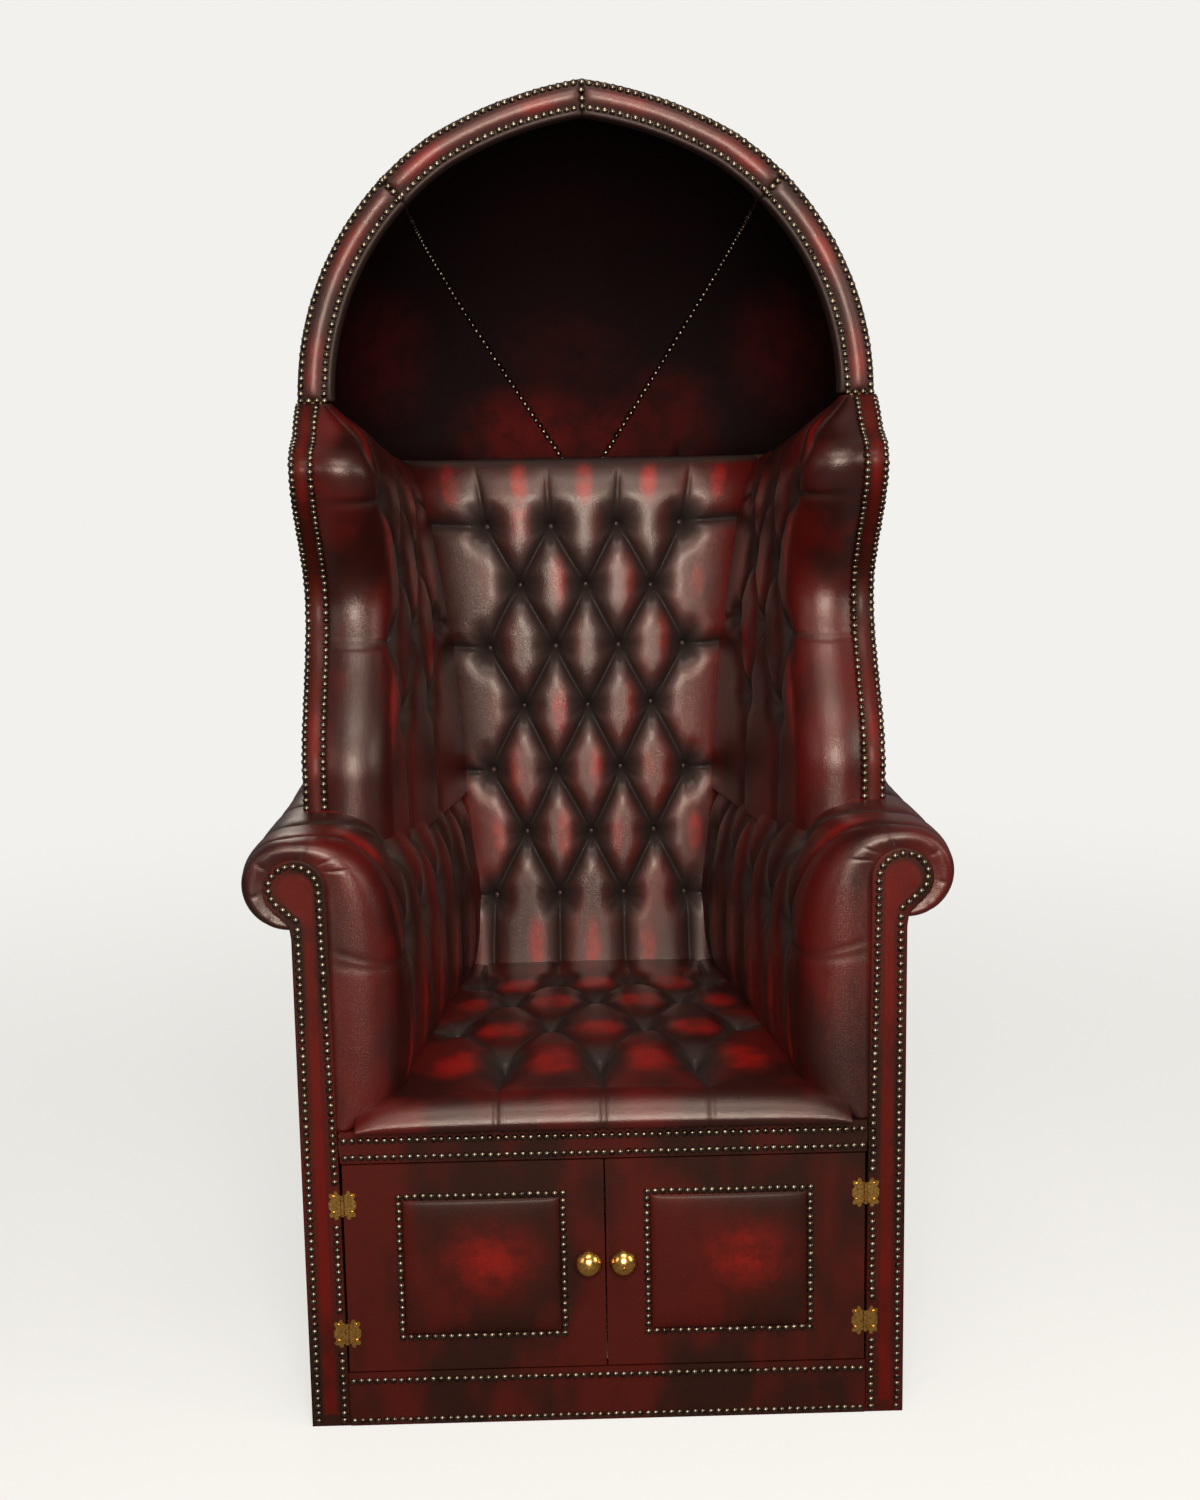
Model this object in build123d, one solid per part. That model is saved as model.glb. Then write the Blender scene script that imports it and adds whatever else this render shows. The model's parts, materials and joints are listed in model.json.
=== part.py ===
"""A hooded hall porter's chair: a cupboard base with two doors, rolled arms, winged sides and a domed hood.

Millimetres, +Z up, the sitter faces -Y. While a piece is shaped, Y is 0 at the front face of the base.
write_parts then moves everything so that the origin lies on the floor under the middle of the chair's box.
"""
from build123d import *
import math
import os

# Overall sizes
BODY_WIDTH = 752.0
BODY_DEPTH = 760.0
BODY_HEIGHT = 1680.0
CORNER_RADIUS = 190.0

# Thicknesses and clearances
SKIN = 3.0
BOARD = 18.0
SHELL = 12.0
GAP = 0.3
OVERRUN = 5.0

# Base and cupboard
PLINTH_HEIGHT = 72.0
OPENING_HEIGHT = 279.0
RAIL_HEIGHT = 41.0
FRONT_THICKNESS = 22.0
CUPBOARD_REAR_ROOM = 217.7
SHOE_LIFT = 2.0

# Doors
DOOR_GAP = 2.0
DOOR_THICKNESS = 20.0
PANEL_WIDTH = 196.0
PANEL_HEIGHT = 178.0
PANEL_CROWN = 7.0
PANEL_DRAW_IN = 4.0
PANEL_SHOULDER = 14.0
PANEL_OFFSET = 8.5
KNOB_FROM_EDGE = 21.0
KNOB_LIFT = 6.5
KNOB_RADIUS = 17.0
KNOB_REACH = 30.0
KNOB_NECK_RADIUS = 6.5
KNOB_ROSE_RADIUS = 10.0
KNOB_ROSE_HEIGHT = 3.0
KNOB_HEAD_HEIGHT = 14.0
KNOB_BORE_DEPTH = 14.0
SCREW_RADIUS = 2.0
SCREW_HEAD_RADIUS = 4.5
SCREW_HEAD_HEIGHT = 2.5

# Butterfly hinges
HINGE_LENGTH = 38.0
HINGE_REACH = 17.0
HINGE_FROM_DOOR_END = 52.0
LEAF_THICKNESS = 1.2
BARREL_RADIUS = 2.6
HINGE_PIN_RADIUS = 1.3
HINGE_PIN_HEAD = 0.8
HINGE_PIN_CLEARANCE = 0.05
KNUCKLE_COUNT = 5
KNUCKLE_GAP = 0.2
HINGE_SCREW_RADIUS = 1.3
HINGE_SCREW_HEAD_RADIUS = 2.6
HINGE_SCREW_HEAD_HEIGHT = 0.8
HINGE_SCREW_LENGTH = 12.0

# Magnetic catches
CATCH_WIDTH = 40.0
CATCH_DEPTH = 14.0
CATCH_HEIGHT = 12.0
CATCH_FROM_SEAM = 8.0
STRIKE_THICKNESS = 1.5
STRIKE_HEIGHT = 14.0

# Arms
FACING_WIDTH = 48.0
HEAD_RADIUS = 40.0
HEAD_HEIGHT = 700.0
ROLL_RADIUS = 57.0
ROLL_HEIGHT = 705.0
ROLL_OUTSET = 2.0
ARM_RAIL_RADIUS = 34.0
SIDE_BOARD_TOP = 690.0
ARM_FRONT_ROUNDING = 14.0
ARM_SEAT_FRONT = 308.0
ARM_SEAT_BACK = 203.0
ARM_BELLY_FRONT = 252.0
ARM_BELLY_BACK = 160.0
ARM_BELLY_HEIGHT = 590.0
ARM_UPSTAND = 30.0
ARM_TUCK = 50.0

# Seat
SEAT_CROWN_HEIGHT = 44.0
SEAT_CROWN_DROP = 14.0
SEAT_NOSE = 22.0
SEAT_NOSE_DROP = 20.0
SEAT_NOSE_LIFT = 9.0
SEAT_NOSE_DRAW_IN = 7.0
SEAT_TUCK = 30.0
SEAT_FRAME_REAR_ROOM = 109.7
SEAT_RAIL_WIDTH = 45.0
WEB_WIDTH = 50.0
WEB_THICKNESS = 1.5
SEAT_WEB_COUNT = 5
BACK_WEB_COUNT = 6

# Back
BACK_REAR_ROOM = 176.0
BACK_LEAN = 60.0
BACK_TOP_DROP = 94.0
BACK_THICKNESS = 66.0
BACK_CROWN = 22.0
BACK_FOOT_HALF = 178.0
BACK_HEAD_HALF = 228.0
BACK_FLARE_START = 640.0
BACK_TUCK = 50.0
BACK_ROUNDING = 24.0
BACK_POST = 30.0
BACK_POST_CENTRE = 140.0
BACK_RAIL_HEIGHT = 60.0

# Wings
WING_BOARD = 24.0
WING_FOOT_FRONT = 178.0
WING_FOOT_HEIGHT = 800.0
WING_WAIST_FRONT = 286.0
WING_EAR_FRONT = 168.0
WING_FACING_WIDTH = 30.0
WING_FACING_THICKNESS = 4.0
WING_PAD_FOOT = 660.0
WING_PAD_SETBACK = 5.0
WING_PAD_NOSE = 12.0
WING_ROLL = 34.0
WING_FRONT_HALF = 262.0
WING_TOP_HALF = 318.0
WING_THINNING_DROP = 122.0
WING_TUCK = 40.0

# Hood
RIM_FRONT = 288.0
RIM_DEPTH = 34.0
RIM_WIDTH = 46.0
RIM_ROUNDING = 9.0
HOOD_RISE = 390.0
HOOD_STILT = 10.0
HOOD_SEAM_FALL = 120.0
LINING_HUB_DROP = 100.0
HOOD_BACK_RISE = 34.0
LINING = 10.0
HOOP_INSET = 10.0
HOOP_WIDTH = 24.0

# Tufting
BACK_TUFT_PITCH_X = 99.0
BACK_TUFT_TOP_ROOM = 96.0
BACK_TUFT_FIRST = 532.0
BACK_TUFT_ROWS = 7
SEAT_TUFT_PITCH_X = 124.0
SEAT_TUFT_REAR_ROOM = 96.0
SEAT_TUFT_FIRST = 140.0
SEAT_TUFT_ROWS = 4
ARM_TUFT_REAR_ROOM = 130.0
ARM_TUFT_FIRST = 100.0
ARM_TUFT_COUNT = 4
WING_TUFT_FIRST = 860.0
WING_TUFT_TOP_ROOM = 111.0
WING_TUFT_ROWS = 4
TUFT_MOUTH_RADIUS = 24.0
TUFT_FLOOR_RADIUS = 8.5
TUFT_DEPTH = 22.0
SEAT_TUFT_DEPTH = 17.0
WING_TUFT_DEPTH = 14.0
PLEAT_WIDTH = 12.0
PLEAT_DEPTH = 8.0
BUTTON_RADIUS = 7.0
BUTTON_TOP_RADIUS = 4.0
BUTTON_HEIGHT = 5.0

# The hood's arch, from its spring to its crown, as shares of its half width and its rise
ARCH_SPRING_VIA_SHARES = (0.894, 0.417)
ARCH_SHOULDER_SHARES = (0.516, 0.829)
ARCH_CROWN_VIA_SHARES = (0.277, 0.934)
# The dome's profile from rim to back: 2 is an ellipse, more is squarer
HOOD_ROUNDNESS = 2.2
HOOD_SECTIONS = 11
# The hood's joints cross the rim at this share of the quarter turn. The lining's seams run from that joint,
# given as shares of half width and rise, to near the middle of the back, given as a share of half width
RIM_JOINT_SHARE = 0.513
LINING_HEAD_SHARES = (0.606, 0.641)
LINING_FOOT_SHARE = 0.04
# The butterfly leaf's outline: how far out and how far up each point lies, as shares of reach and half length
LEAF_SHARES = ((0.28, 0.72), (0.36, 0.98), (0.56, 1.0), (0.62, 0.8), (0.92, 0.82), (0.98, 0.66), (0.82, 0.42),
               (1.0, 0.2))
LEAF_HOLE_SHARES = (0.66, 0.55)
# How the arm's section swells between its named points, as shares of the width and of the height between them
ARM_LOW_VIA_SHARES = (0.4, 0.5)
ARM_SHOULDER_VIA_SHARES = (0.26, 0.7)
# Where the arm's tufts lie on its lower and upper curves, as shares of the curve
ARM_LOW_TUFT_SHARE = 0.8
ARM_TOP_TUFT_SHARE = 0.42
# Where the back pad's sections stand, as shares of its height
BACK_STATION_SHARES = (0.03, 0.3, 0.55, 0.75, 0.88, 0.97)
# Where the wing's tufts lie between its front roll and the back, as shares of that line, in rows by turns
WING_TUFT_SHARES = ((0.18, 0.54), (0.03, 0.36, 0.72))
# Where the wing's waist and ear stand between its foot and the seam, as shares of that height
WING_WAIST_SHARE = 0.458
WING_EAR_SHARE = 0.84
# How many steps the wing's front edge is drawn in
WING_PROFILE_STEPS = 24
# Tufts closer than this share of a row's pitch are joined by a pleat
PLEAT_REACH_SHARE = 0.75
# Where the seat's nose has its middle section, as a share of its reach
SEAT_NOSE_MIDDLE_SHARE = 0.7
# How the door pad's edge steps up, as a share of its crown
PANEL_STEP_SHARE = 0.25

HALF_WIDTH = BODY_WIDTH / 2
SIDES = {"left": -1, "right": 1}
DECK_HEIGHT = PLINTH_HEIGHT + OPENING_HEIGHT + RAIL_HEIGHT
OPENING_TOP = PLINTH_HEIGHT + OPENING_HEIGHT
FACING_INNER = HALF_WIDTH - FACING_WIDTH
BOARD_OUTER = HALF_WIDTH - SKIN - GAP
SIDE_BOARD_INNER = BOARD_OUTER - BOARD
WING_BOARD_INNER = BOARD_OUTER - WING_BOARD
CORNER_START = BODY_DEPTH - CORNER_RADIUS
BACK_FOOT = BODY_DEPTH - BACK_REAR_ROOM
BOARD_FRONT = FRONT_THICKNESS + GAP
BOARD_BACK = CORNER_START - GAP
CUPBOARD_BACK = BODY_DEPTH - CUPBOARD_REAR_ROOM
ROLL_CENTRE = HALF_WIDTH + ROLL_OUTSET
HEAD_CENTRE = FACING_INNER + HEAD_RADIUS
DOOR_INNER = DOOR_GAP / 2
DOOR_OUTER = FACING_INNER - DOOR_GAP
DOOR_BOTTOM = PLINTH_HEIGHT + DOOR_GAP
DOOR_TOP = OPENING_TOP - DOOR_GAP
KNOB_X = DOOR_INNER + KNOB_FROM_EDGE
DOOR_MIDDLE = (DOOR_BOTTOM + DOOR_TOP) / 2
KNOB_Z = DOOR_MIDDLE + KNOB_LIFT
HINGE_AXIS_X = FACING_INNER - DOOR_GAP / 2
HINGE_AXIS_Y = -BARREL_RADIUS
HINGE_HEIGHTS = (DOOR_BOTTOM + HINGE_FROM_DOOR_END, DOOR_TOP - HINGE_FROM_DOOR_END)
WING_PIECE_SETBACK = WING_FACING_THICKNESS + GAP
RIM_BACK = RIM_FRONT + RIM_DEPTH
SPRING_HEIGHT = BODY_HEIGHT - HOOD_RISE
HOOD_SEAM_FRONT = SPRING_HEIGHT - HOOD_STILT
HOOD_SEAM_BACK = HOOD_SEAM_FRONT - HOOD_SEAM_FALL
HOOD_SLOPE = HOOD_SEAM_FALL / (BODY_DEPTH - RIM_FRONT)
BACK_TOP_HEIGHT = HOOD_SEAM_FRONT - BACK_TOP_DROP
WING_HEIGHT = HOOD_SEAM_FRONT - WING_FOOT_HEIGHT
WING_WAIST_HEIGHT = WING_FOOT_HEIGHT + WING_HEIGHT * WING_WAIST_SHARE
WING_EAR_HEIGHT = WING_FOOT_HEIGHT + WING_HEIGHT * WING_EAR_SHARE
WING_THINNING_START = HOOD_SEAM_FRONT - WING_THINNING_DROP
WING_TUFT_PITCH = (HOOD_SEAM_FRONT - WING_TUFT_TOP_ROOM - WING_TUFT_FIRST) / (WING_TUFT_ROWS - 1)
BACK_TUFT_PITCH_Z = (BACK_TOP_HEIGHT - BACK_TUFT_TOP_ROOM - BACK_TUFT_FIRST) / (BACK_TUFT_ROWS - 1)
SEAT_TUFT_PITCH_Y = (BACK_FOOT - SEAT_TUFT_REAR_ROOM - SEAT_TUFT_FIRST) / (SEAT_TUFT_ROWS - 1)
ARM_TUFT_PITCH = (BACK_FOOT - ARM_TUFT_REAR_ROOM - ARM_TUFT_FIRST) / (ARM_TUFT_COUNT - 1)
SHELL_INSET = SKIN + GAP
LINING_INSET = SHELL_INSET + SHELL + GAP
SEAT_FRAME_TOP = DECK_HEIGHT - WEB_THICKNESS - GAP
PAD_FOOT = DECK_HEIGHT + GAP
ORIGIN_SHIFT = (KNOB_REACH - BODY_DEPTH) / 2
UP = (0, 0, 1)
FORWARD = (0, -1, 0)


def block(x_range, y_range, z_range):
    """A rectangular block between pairs of limits."""
    spans = [sorted(limits) for limits in (x_range, y_range, z_range)]
    size = [high - low for low, high in spans]
    corner = [low for low, high in spans]
    return Pos(*corner) * Box(*size, align=(Align.MIN, Align.MIN, Align.MIN))


def outline(*edges):
    """A face inside a closed run of edges."""
    return make_face(Wire(list(edges)))


def polygon(points):
    """A face inside a closed run of straight lines."""
    return outline(*[Line(a, b) for a, b in zip(points, points[1:] + points[:1])])


def rod(centre, radius, y_range):
    """A round bar along Y, through a point given as x and z."""
    return Pos(centre[0], y_range[0], centre[1]) * Rot(90, 0, 0) * Cylinder(
        radius, y_range[1] - y_range[0], align=(Align.CENTER, Align.CENTER, Align.MAX))


def ease(share):
    """A share that starts and ends gently between 0 and 1."""
    clamped = min(1.0, max(0.0, share))
    return (1 - math.cos(math.pi * clamped)) / 2


def plan_half(y, inset):
    """Half the width inside the round-cornered plan, moved inwards by inset."""
    corner = CORNER_RADIUS - inset
    past_corner = max(0.0, y - CORNER_START)
    return HALF_WIDTH - CORNER_RADIUS + math.sqrt(max(0.0, corner**2 - past_corner**2))


def below_hood_seam(offset=0.0):
    """A block holding everything under the sloping seam between the hood and the body, raised by offset."""
    far = BODY_DEPTH + OVERRUN
    front = HOOD_SEAM_FRONT + offset + HOOD_SLOPE * (RIM_FRONT + BODY_DEPTH)
    back = HOOD_SEAM_BACK + offset - HOOD_SLOPE * OVERRUN
    side = polygon([(0, -BODY_DEPTH, -OVERRUN), (0, far, -OVERRUN), (0, far, back), (0, -BODY_DEPTH, front)])
    return extrude(side, BODY_WIDTH, both=True, dir=(1, 0, 0))


def arch_face(half, rise, y, foot):
    """The face inside a stilted, slightly pointed arch that stands on the height called foot."""
    def place(shares, side=1):
        return (side * half * shares[0], y, SPRING_HEIGHT + rise * shares[1])
    crown = place((0.0, 1.0))
    edges = []
    for side in (1, -1):
        spring = place((1.0, 0.0), side)
        shoulder = place(ARCH_SHOULDER_SHARES, side)
        edges.append(Line((side * half, y, foot), spring))
        edges.append(ThreePointArc(spring, place(ARCH_SPRING_VIA_SHARES, side), shoulder))
        edges.append(ThreePointArc(shoulder, place(ARCH_CROWN_VIA_SHARES, side), crown))
    return outline(*edges, Line((half, y, foot), (-half, y, foot)))


def body_form(inset, foot):
    """The chair's form behind the rim, moved inwards by inset: straight sides, round back corners, a dome above."""
    depth = BODY_DEPTH - RIM_BACK - inset
    dome = HOOD_RISE - HOOD_BACK_RISE
    sections = []
    for station in range(HOOD_SECTIONS):
        turn = math.pi / 2 * station / (HOOD_SECTIONS - 1)
        y = RIM_BACK + depth * math.sin(turn) ** (2 / HOOD_ROUNDNESS)
        rise = HOOD_BACK_RISE - inset + dome * max(0.0, math.cos(turn)) ** (2 / HOOD_ROUNDNESS)
        sections.append(arch_face(plan_half(y, inset), rise, y, foot))
    return loft(sections, ruled=True)


def hood_wall(outer_inset, inner_inset):
    """The domed wall between two insets of the body form, from the rim back and from the seam up."""
    foot = HOOD_SEAM_BACK - BODY_DEPTH * HOOD_SLOPE
    wall = body_form(outer_inset, foot) - body_form(inner_inset, foot - OVERRUN)
    return (wall - below_hood_seam(GAP)).solids().sort_by(SortBy.VOLUME)[-1]


def rim_band(outer_inset, inner_inset, y_range):
    """A band of the front arch between two insets, above the seam."""
    outer = arch_face(HALF_WIDTH - outer_inset, HOOD_RISE - outer_inset, y_range[0], DECK_HEIGHT)
    inner = arch_face(HALF_WIDTH - inner_inset, HOOD_RISE - inner_inset, y_range[0], DECK_HEIGHT - OVERRUN)
    return extrude(outer - inner, y_range[1] - y_range[0], dir=(0, 1, 0)) - below_hood_seam(GAP)


def u_wall(outer_inset, inner_inset, foot):
    """The back wall in plan, round its corners, from foot up to the hood's seam."""
    def plan(inset, start, height):
        half = HALF_WIDTH - inset
        radius = CORNER_RADIUS - inset
        far = BODY_DEPTH - inset
        turn = radius * (1 - math.sqrt(1 / 2))
        straight = half - radius
        edges = [Line((-half, start, height), (half, start, height))]
        for side in (1, -1):
            corner = (side * half, CORNER_START, height)
            middle = (side * (half - turn), far - turn, height)
            edges += [Line((side * half, start, height), corner),
                      ThreePointArc(corner, middle, (side * straight, far, height))]
        edges.append(Line((straight, far, height), (-straight, far, height)))
        return outline(*edges)
    outer = extrude(plan(outer_inset, CORNER_START - OVERRUN, foot), BODY_HEIGHT, dir=UP)
    inner = extrude(plan(inner_inset, CORNER_START - BOARD, foot - OVERRUN), BODY_HEIGHT + BOARD, dir=UP)
    front = block((-BODY_WIDTH, BODY_WIDTH), (0, CORNER_START), (-OVERRUN, 2 * BODY_HEIGHT))
    return (outer - inner - front) & below_hood_seam()


def tuft(point, normal, depth):
    """The hollow that a button pulls into a pad: a funnel along the surface's normal."""
    mouth = TUFT_MOUTH_RADIUS + (TUFT_MOUTH_RADIUS - TUFT_FLOOR_RADIUS) * OVERRUN / depth
    place = Plane(origin=point, z_dir=normal)
    return place * Pos(0, 0, -depth) * Cone(TUFT_FLOOR_RADIUS, mouth, depth + OVERRUN,
                                            align=(Align.CENTER, Align.CENTER, Align.MIN))


def pleat(start, end, normal):
    """The fold between two tufts: a V-shaped groove along the surface."""
    along = Vector(*end) - Vector(*start)
    across = Vector(*normal).cross(along)
    place = Plane(origin=start, x_dir=across, z_dir=along)
    half = PLEAT_WIDTH / 2
    lip = half * (PLEAT_DEPTH + OVERRUN) / PLEAT_DEPTH
    return place * extrude(polygon([(0, -PLEAT_DEPTH), (lip, OVERRUN), (-lip, OVERRUN)]), along.length)


def button(point, normal, depth):
    """A small covered button on the floor of its tuft."""
    place = Plane(origin=point, z_dir=normal)
    return place * Pos(0, 0, GAP - depth) * Cone(BUTTON_RADIUS, BUTTON_TOP_RADIUS, BUTTON_HEIGHT,
                                                 align=(Align.CENTER, Align.CENTER, Align.MIN))


def make_facing(sign):
    """A flat board up the arm's front, ending in a round head under the roll."""
    strip = block((sign * FACING_INNER, sign * HALF_WIDTH), (0, FRONT_THICKNESS), (0, HEAD_HEIGHT))
    facing = strip + rod((sign * HEAD_CENTRE, HEAD_HEIGHT), HEAD_RADIUS, (0, FRONT_THICKNESS))
    return facing - [hinge_screw(sign, 1, z, GAP / 2) for z in hinge_hole_heights()]


def facing_clearance(sign):
    """The room that a pad leaves round the arm's facing."""
    y_range = (-OVERRUN, BOARD_FRONT)
    strip = block((sign * (FACING_INNER - GAP), sign * (HALF_WIDTH + GAP)), y_range, (0, HEAD_HEIGHT))
    return strip + rod((sign * HEAD_CENTRE, HEAD_HEIGHT), HEAD_RADIUS + GAP, y_range)


def make_base():
    """The cupboard carcass and the chair's front boards."""
    nodes = {}
    for side, sign in SIDES.items():
        nodes[f"side_board_{side}"] = block((sign * SIDE_BOARD_INNER, sign * BOARD_OUTER), (BOARD_FRONT, BOARD_BACK),
                                            (0, SIDE_BOARD_TOP))
        nodes[f"arm_facing_{side}"] = make_facing(sign)
    across = (-SIDE_BOARD_INNER + GAP, SIDE_BOARD_INNER - GAP)
    between = (-FACING_INNER + GAP, FACING_INNER - GAP)
    front = (0, FRONT_THICKNESS)
    ceiling = (OPENING_TOP + GAP, OPENING_TOP + BOARD)
    nodes["plinth_rail"] = block(between, front, (0, PLINTH_HEIGHT))
    nodes["seat_rail"] = block(between, front, (OPENING_TOP, DECK_HEIGHT))
    nodes["cupboard_floor"] = block(across, (BOARD_FRONT, CUPBOARD_BACK), (PLINTH_HEIGHT - BOARD, PLINTH_HEIGHT))
    nodes["cupboard_ceiling"] = block(across, (BOARD_FRONT, CUPBOARD_BACK), ceiling)
    nodes["cupboard_back"] = block(across, (CUPBOARD_BACK + GAP, CUPBOARD_BACK + BOARD), (0, ceiling[1]))
    return nodes


def make_doors():
    """Each door with its padded panel, knob, catch plate and hinge leaves."""
    nodes = {}
    for side, sign in SIDES.items():
        middle = (sign * ((DOOR_INNER + DOOR_OUTER) / 2 - PANEL_OFFSET), DOOR_MIDDLE)
        shank = rod((sign * KNOB_X, KNOB_Z), SCREW_RADIUS, (GAP - KNOB_BORE_DEPTH, DOOR_THICKNESS))
        head = rod((sign * KNOB_X, KNOB_Z), SCREW_HEAD_RADIUS, (DOOR_THICKNESS, DOOR_THICKNESS + SCREW_HEAD_HEIGHT))
        door = block((sign * DOOR_INNER, sign * DOOR_OUTER), (0, DOOR_THICKNESS), (DOOR_BOTTOM, DOOR_TOP))
        holes = [rod((sign * KNOB_X, KNOB_Z), SCREW_RADIUS + GAP / 2, (-OVERRUN, DOOR_THICKNESS + OVERRUN))]
        holes += [hinge_screw(sign, -1, z, GAP / 2) for z in hinge_hole_heights()]
        strike_x = (sign * (DOOR_INNER + CATCH_FROM_SEAM), sign * (DOOR_INNER + CATCH_FROM_SEAM + CATCH_WIDTH))
        nodes[f"door_panel_{side}"] = door - holes
        nodes[f"door_pad_{side}"] = make_door_pad(middle)
        nodes[f"knob_{side}"] = make_knob(sign)
        nodes[f"knob_screw_{side}"] = shank + head
        nodes[f"strike_plate_{side}"] = block(strike_x, (DOOR_THICKNESS, DOOR_THICKNESS + STRIKE_THICKNESS),
                                              (DOOR_TOP - STRIKE_HEIGHT, DOOR_TOP))
    catches = []
    for sign in SIDES.values():
        x_range = (sign * (DOOR_INNER + CATCH_FROM_SEAM), sign * (DOOR_INNER + CATCH_FROM_SEAM + CATCH_WIDTH))
        front = max(DOOR_THICKNESS + STRIKE_THICKNESS + GAP, BOARD_FRONT)
        catches.append(block(x_range, (front, front + CATCH_DEPTH), (OPENING_TOP - CATCH_HEIGHT, OPENING_TOP)))
    nodes["magnet_catches"] = catches
    return nodes


def make_door_pad(middle):
    """The padded panel on a door: sides drawn in between the corners, and a crowned face."""
    def section(y, shrink):
        half_width = PANEL_WIDTH / 2 - shrink
        half_height = PANEL_HEIGHT / 2 - shrink
        edges = []
        for quarter in range(4):
            width, height = (half_width, half_height) if quarter % 2 == 0 else (half_height, half_width)
            turn = Rot(0, 90 * quarter, 0)
            arc = ThreePointArc((-width, y, height), (0, y, height - PANEL_DRAW_IN), (width, y, height))
            edges.append(Pos(middle[0], 0, middle[1]) * turn * arc)
        return outline(*edges)
    step = PANEL_CROWN * PANEL_STEP_SHARE
    return loft([section(-GAP, 0), section(-GAP - 2 * step, step), section(step - PANEL_CROWN, PANEL_SHOULDER / 2),
                 section(-PANEL_CROWN, 2 * PANEL_SHOULDER)], ruled=True)


def make_knob(sign):
    """A turned mushroom knob, bored for the screw that comes through the door."""
    reach = KNOB_REACH - GAP
    shoulder = reach - KNOB_HEAD_HEIGHT + KNOB_ROSE_HEIGHT
    dome = reach - shoulder
    dome_radius = (KNOB_RADIUS**2 + dome**2) / (2 * dome)
    half_way = reach - dome_radius + math.sqrt(dome_radius**2 - (KNOB_RADIUS / 2) ** 2)
    points = [(KNOB_ROSE_RADIUS, 0), (KNOB_ROSE_RADIUS, KNOB_ROSE_HEIGHT), (KNOB_NECK_RADIUS, 2 * KNOB_ROSE_HEIGHT),
              (KNOB_NECK_RADIUS, reach - KNOB_HEAD_HEIGHT), (KNOB_RADIUS, shoulder)]
    edges = [Line((0, 0), points[0])] + [Line(a, b) for a, b in zip(points, points[1:])]
    edges += [ThreePointArc(points[-1], (KNOB_RADIUS / 2, half_way), (0, reach)), Line((0, reach), (0, 0))]
    knob = Pos(sign * KNOB_X, -GAP, KNOB_Z) * Rot(180, 0, 0) * revolve(outline(*edges), Axis.Y)
    return knob - rod((sign * KNOB_X, KNOB_Z), SCREW_RADIUS + GAP / 2, (-KNOB_BORE_DEPTH, OVERRUN))


def hinge_hole_heights():
    """The heights of all the hinge screws of one door side."""
    rise = HINGE_LENGTH / 2 * LEAF_HOLE_SHARES[1]
    return [z + step * rise for z in HINGE_HEIGHTS for step in (-1, 1)]


def hinge_screw(sign, toward, height, extra=0.0):
    """A countersunk screw through a hinge leaf, on the frame's side (toward 1) or the door's (toward -1)."""
    x = sign * (HINGE_AXIS_X + toward * HINGE_REACH * LEAF_HOLE_SHARES[0])
    shank = rod((x, height), HINGE_SCREW_RADIUS + extra, (-LEAF_THICKNESS, HINGE_SCREW_LENGTH + extra))
    head = rod((x, height), HINGE_SCREW_HEAD_RADIUS,
               (-LEAF_THICKNESS - HINGE_SCREW_HEAD_HEIGHT, -LEAF_THICKNESS))
    return shank if extra else shank + head


def hinge_leaf(sign, toward, height):
    """One butterfly leaf with its knuckles, on the frame's side (toward 1) or the door's (toward -1)."""
    half = HINGE_LENGTH / 2
    upper = [(HINGE_REACH * out, half * up) for out, up in LEAF_SHARES]
    root = [(BARREL_RADIUS + KNUCKLE_GAP, half * LEAF_SHARES[0][1])]
    shape = root + upper + [(x, -z) for x, z in reversed(root + upper)]
    plate = extrude(polygon([(x, 0, z) for x, z in shape]), LEAF_THICKNESS, dir=FORWARD)
    knuckle = 2 * half * LEAF_SHARES[0][1] / KNUCKLE_COUNT
    first = 0 if toward > 0 else 1
    for place in range(first, KNUCKLE_COUNT, 2):
        low = -half * LEAF_SHARES[0][1] + place * knuckle + KNUCKLE_GAP / 2
        high = low + knuckle - KNUCKLE_GAP
        plate += Pos(0, HINGE_AXIS_Y, low) * Cylinder(BARREL_RADIUS, high - low,
                                                      align=(Align.CENTER, Align.CENTER, Align.MIN))
        plate += block((0, root[0][0]), (-LEAF_THICKNESS, 0), (low, high))
    plate -= Pos(0, HINGE_AXIS_Y, 0) * Cylinder(HINGE_PIN_RADIUS + HINGE_PIN_CLEARANCE, 2 * HINGE_LENGTH)
    leaf = Pos(HINGE_AXIS_X, 0, height) * (plate if toward > 0 else mirror(plate, Plane.YZ))
    if sign < 0:
        leaf = mirror(leaf, Plane.YZ)
    return leaf - [hinge_screw(sign, toward, z, GAP / 2) for z in hinge_hole_heights()]


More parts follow.
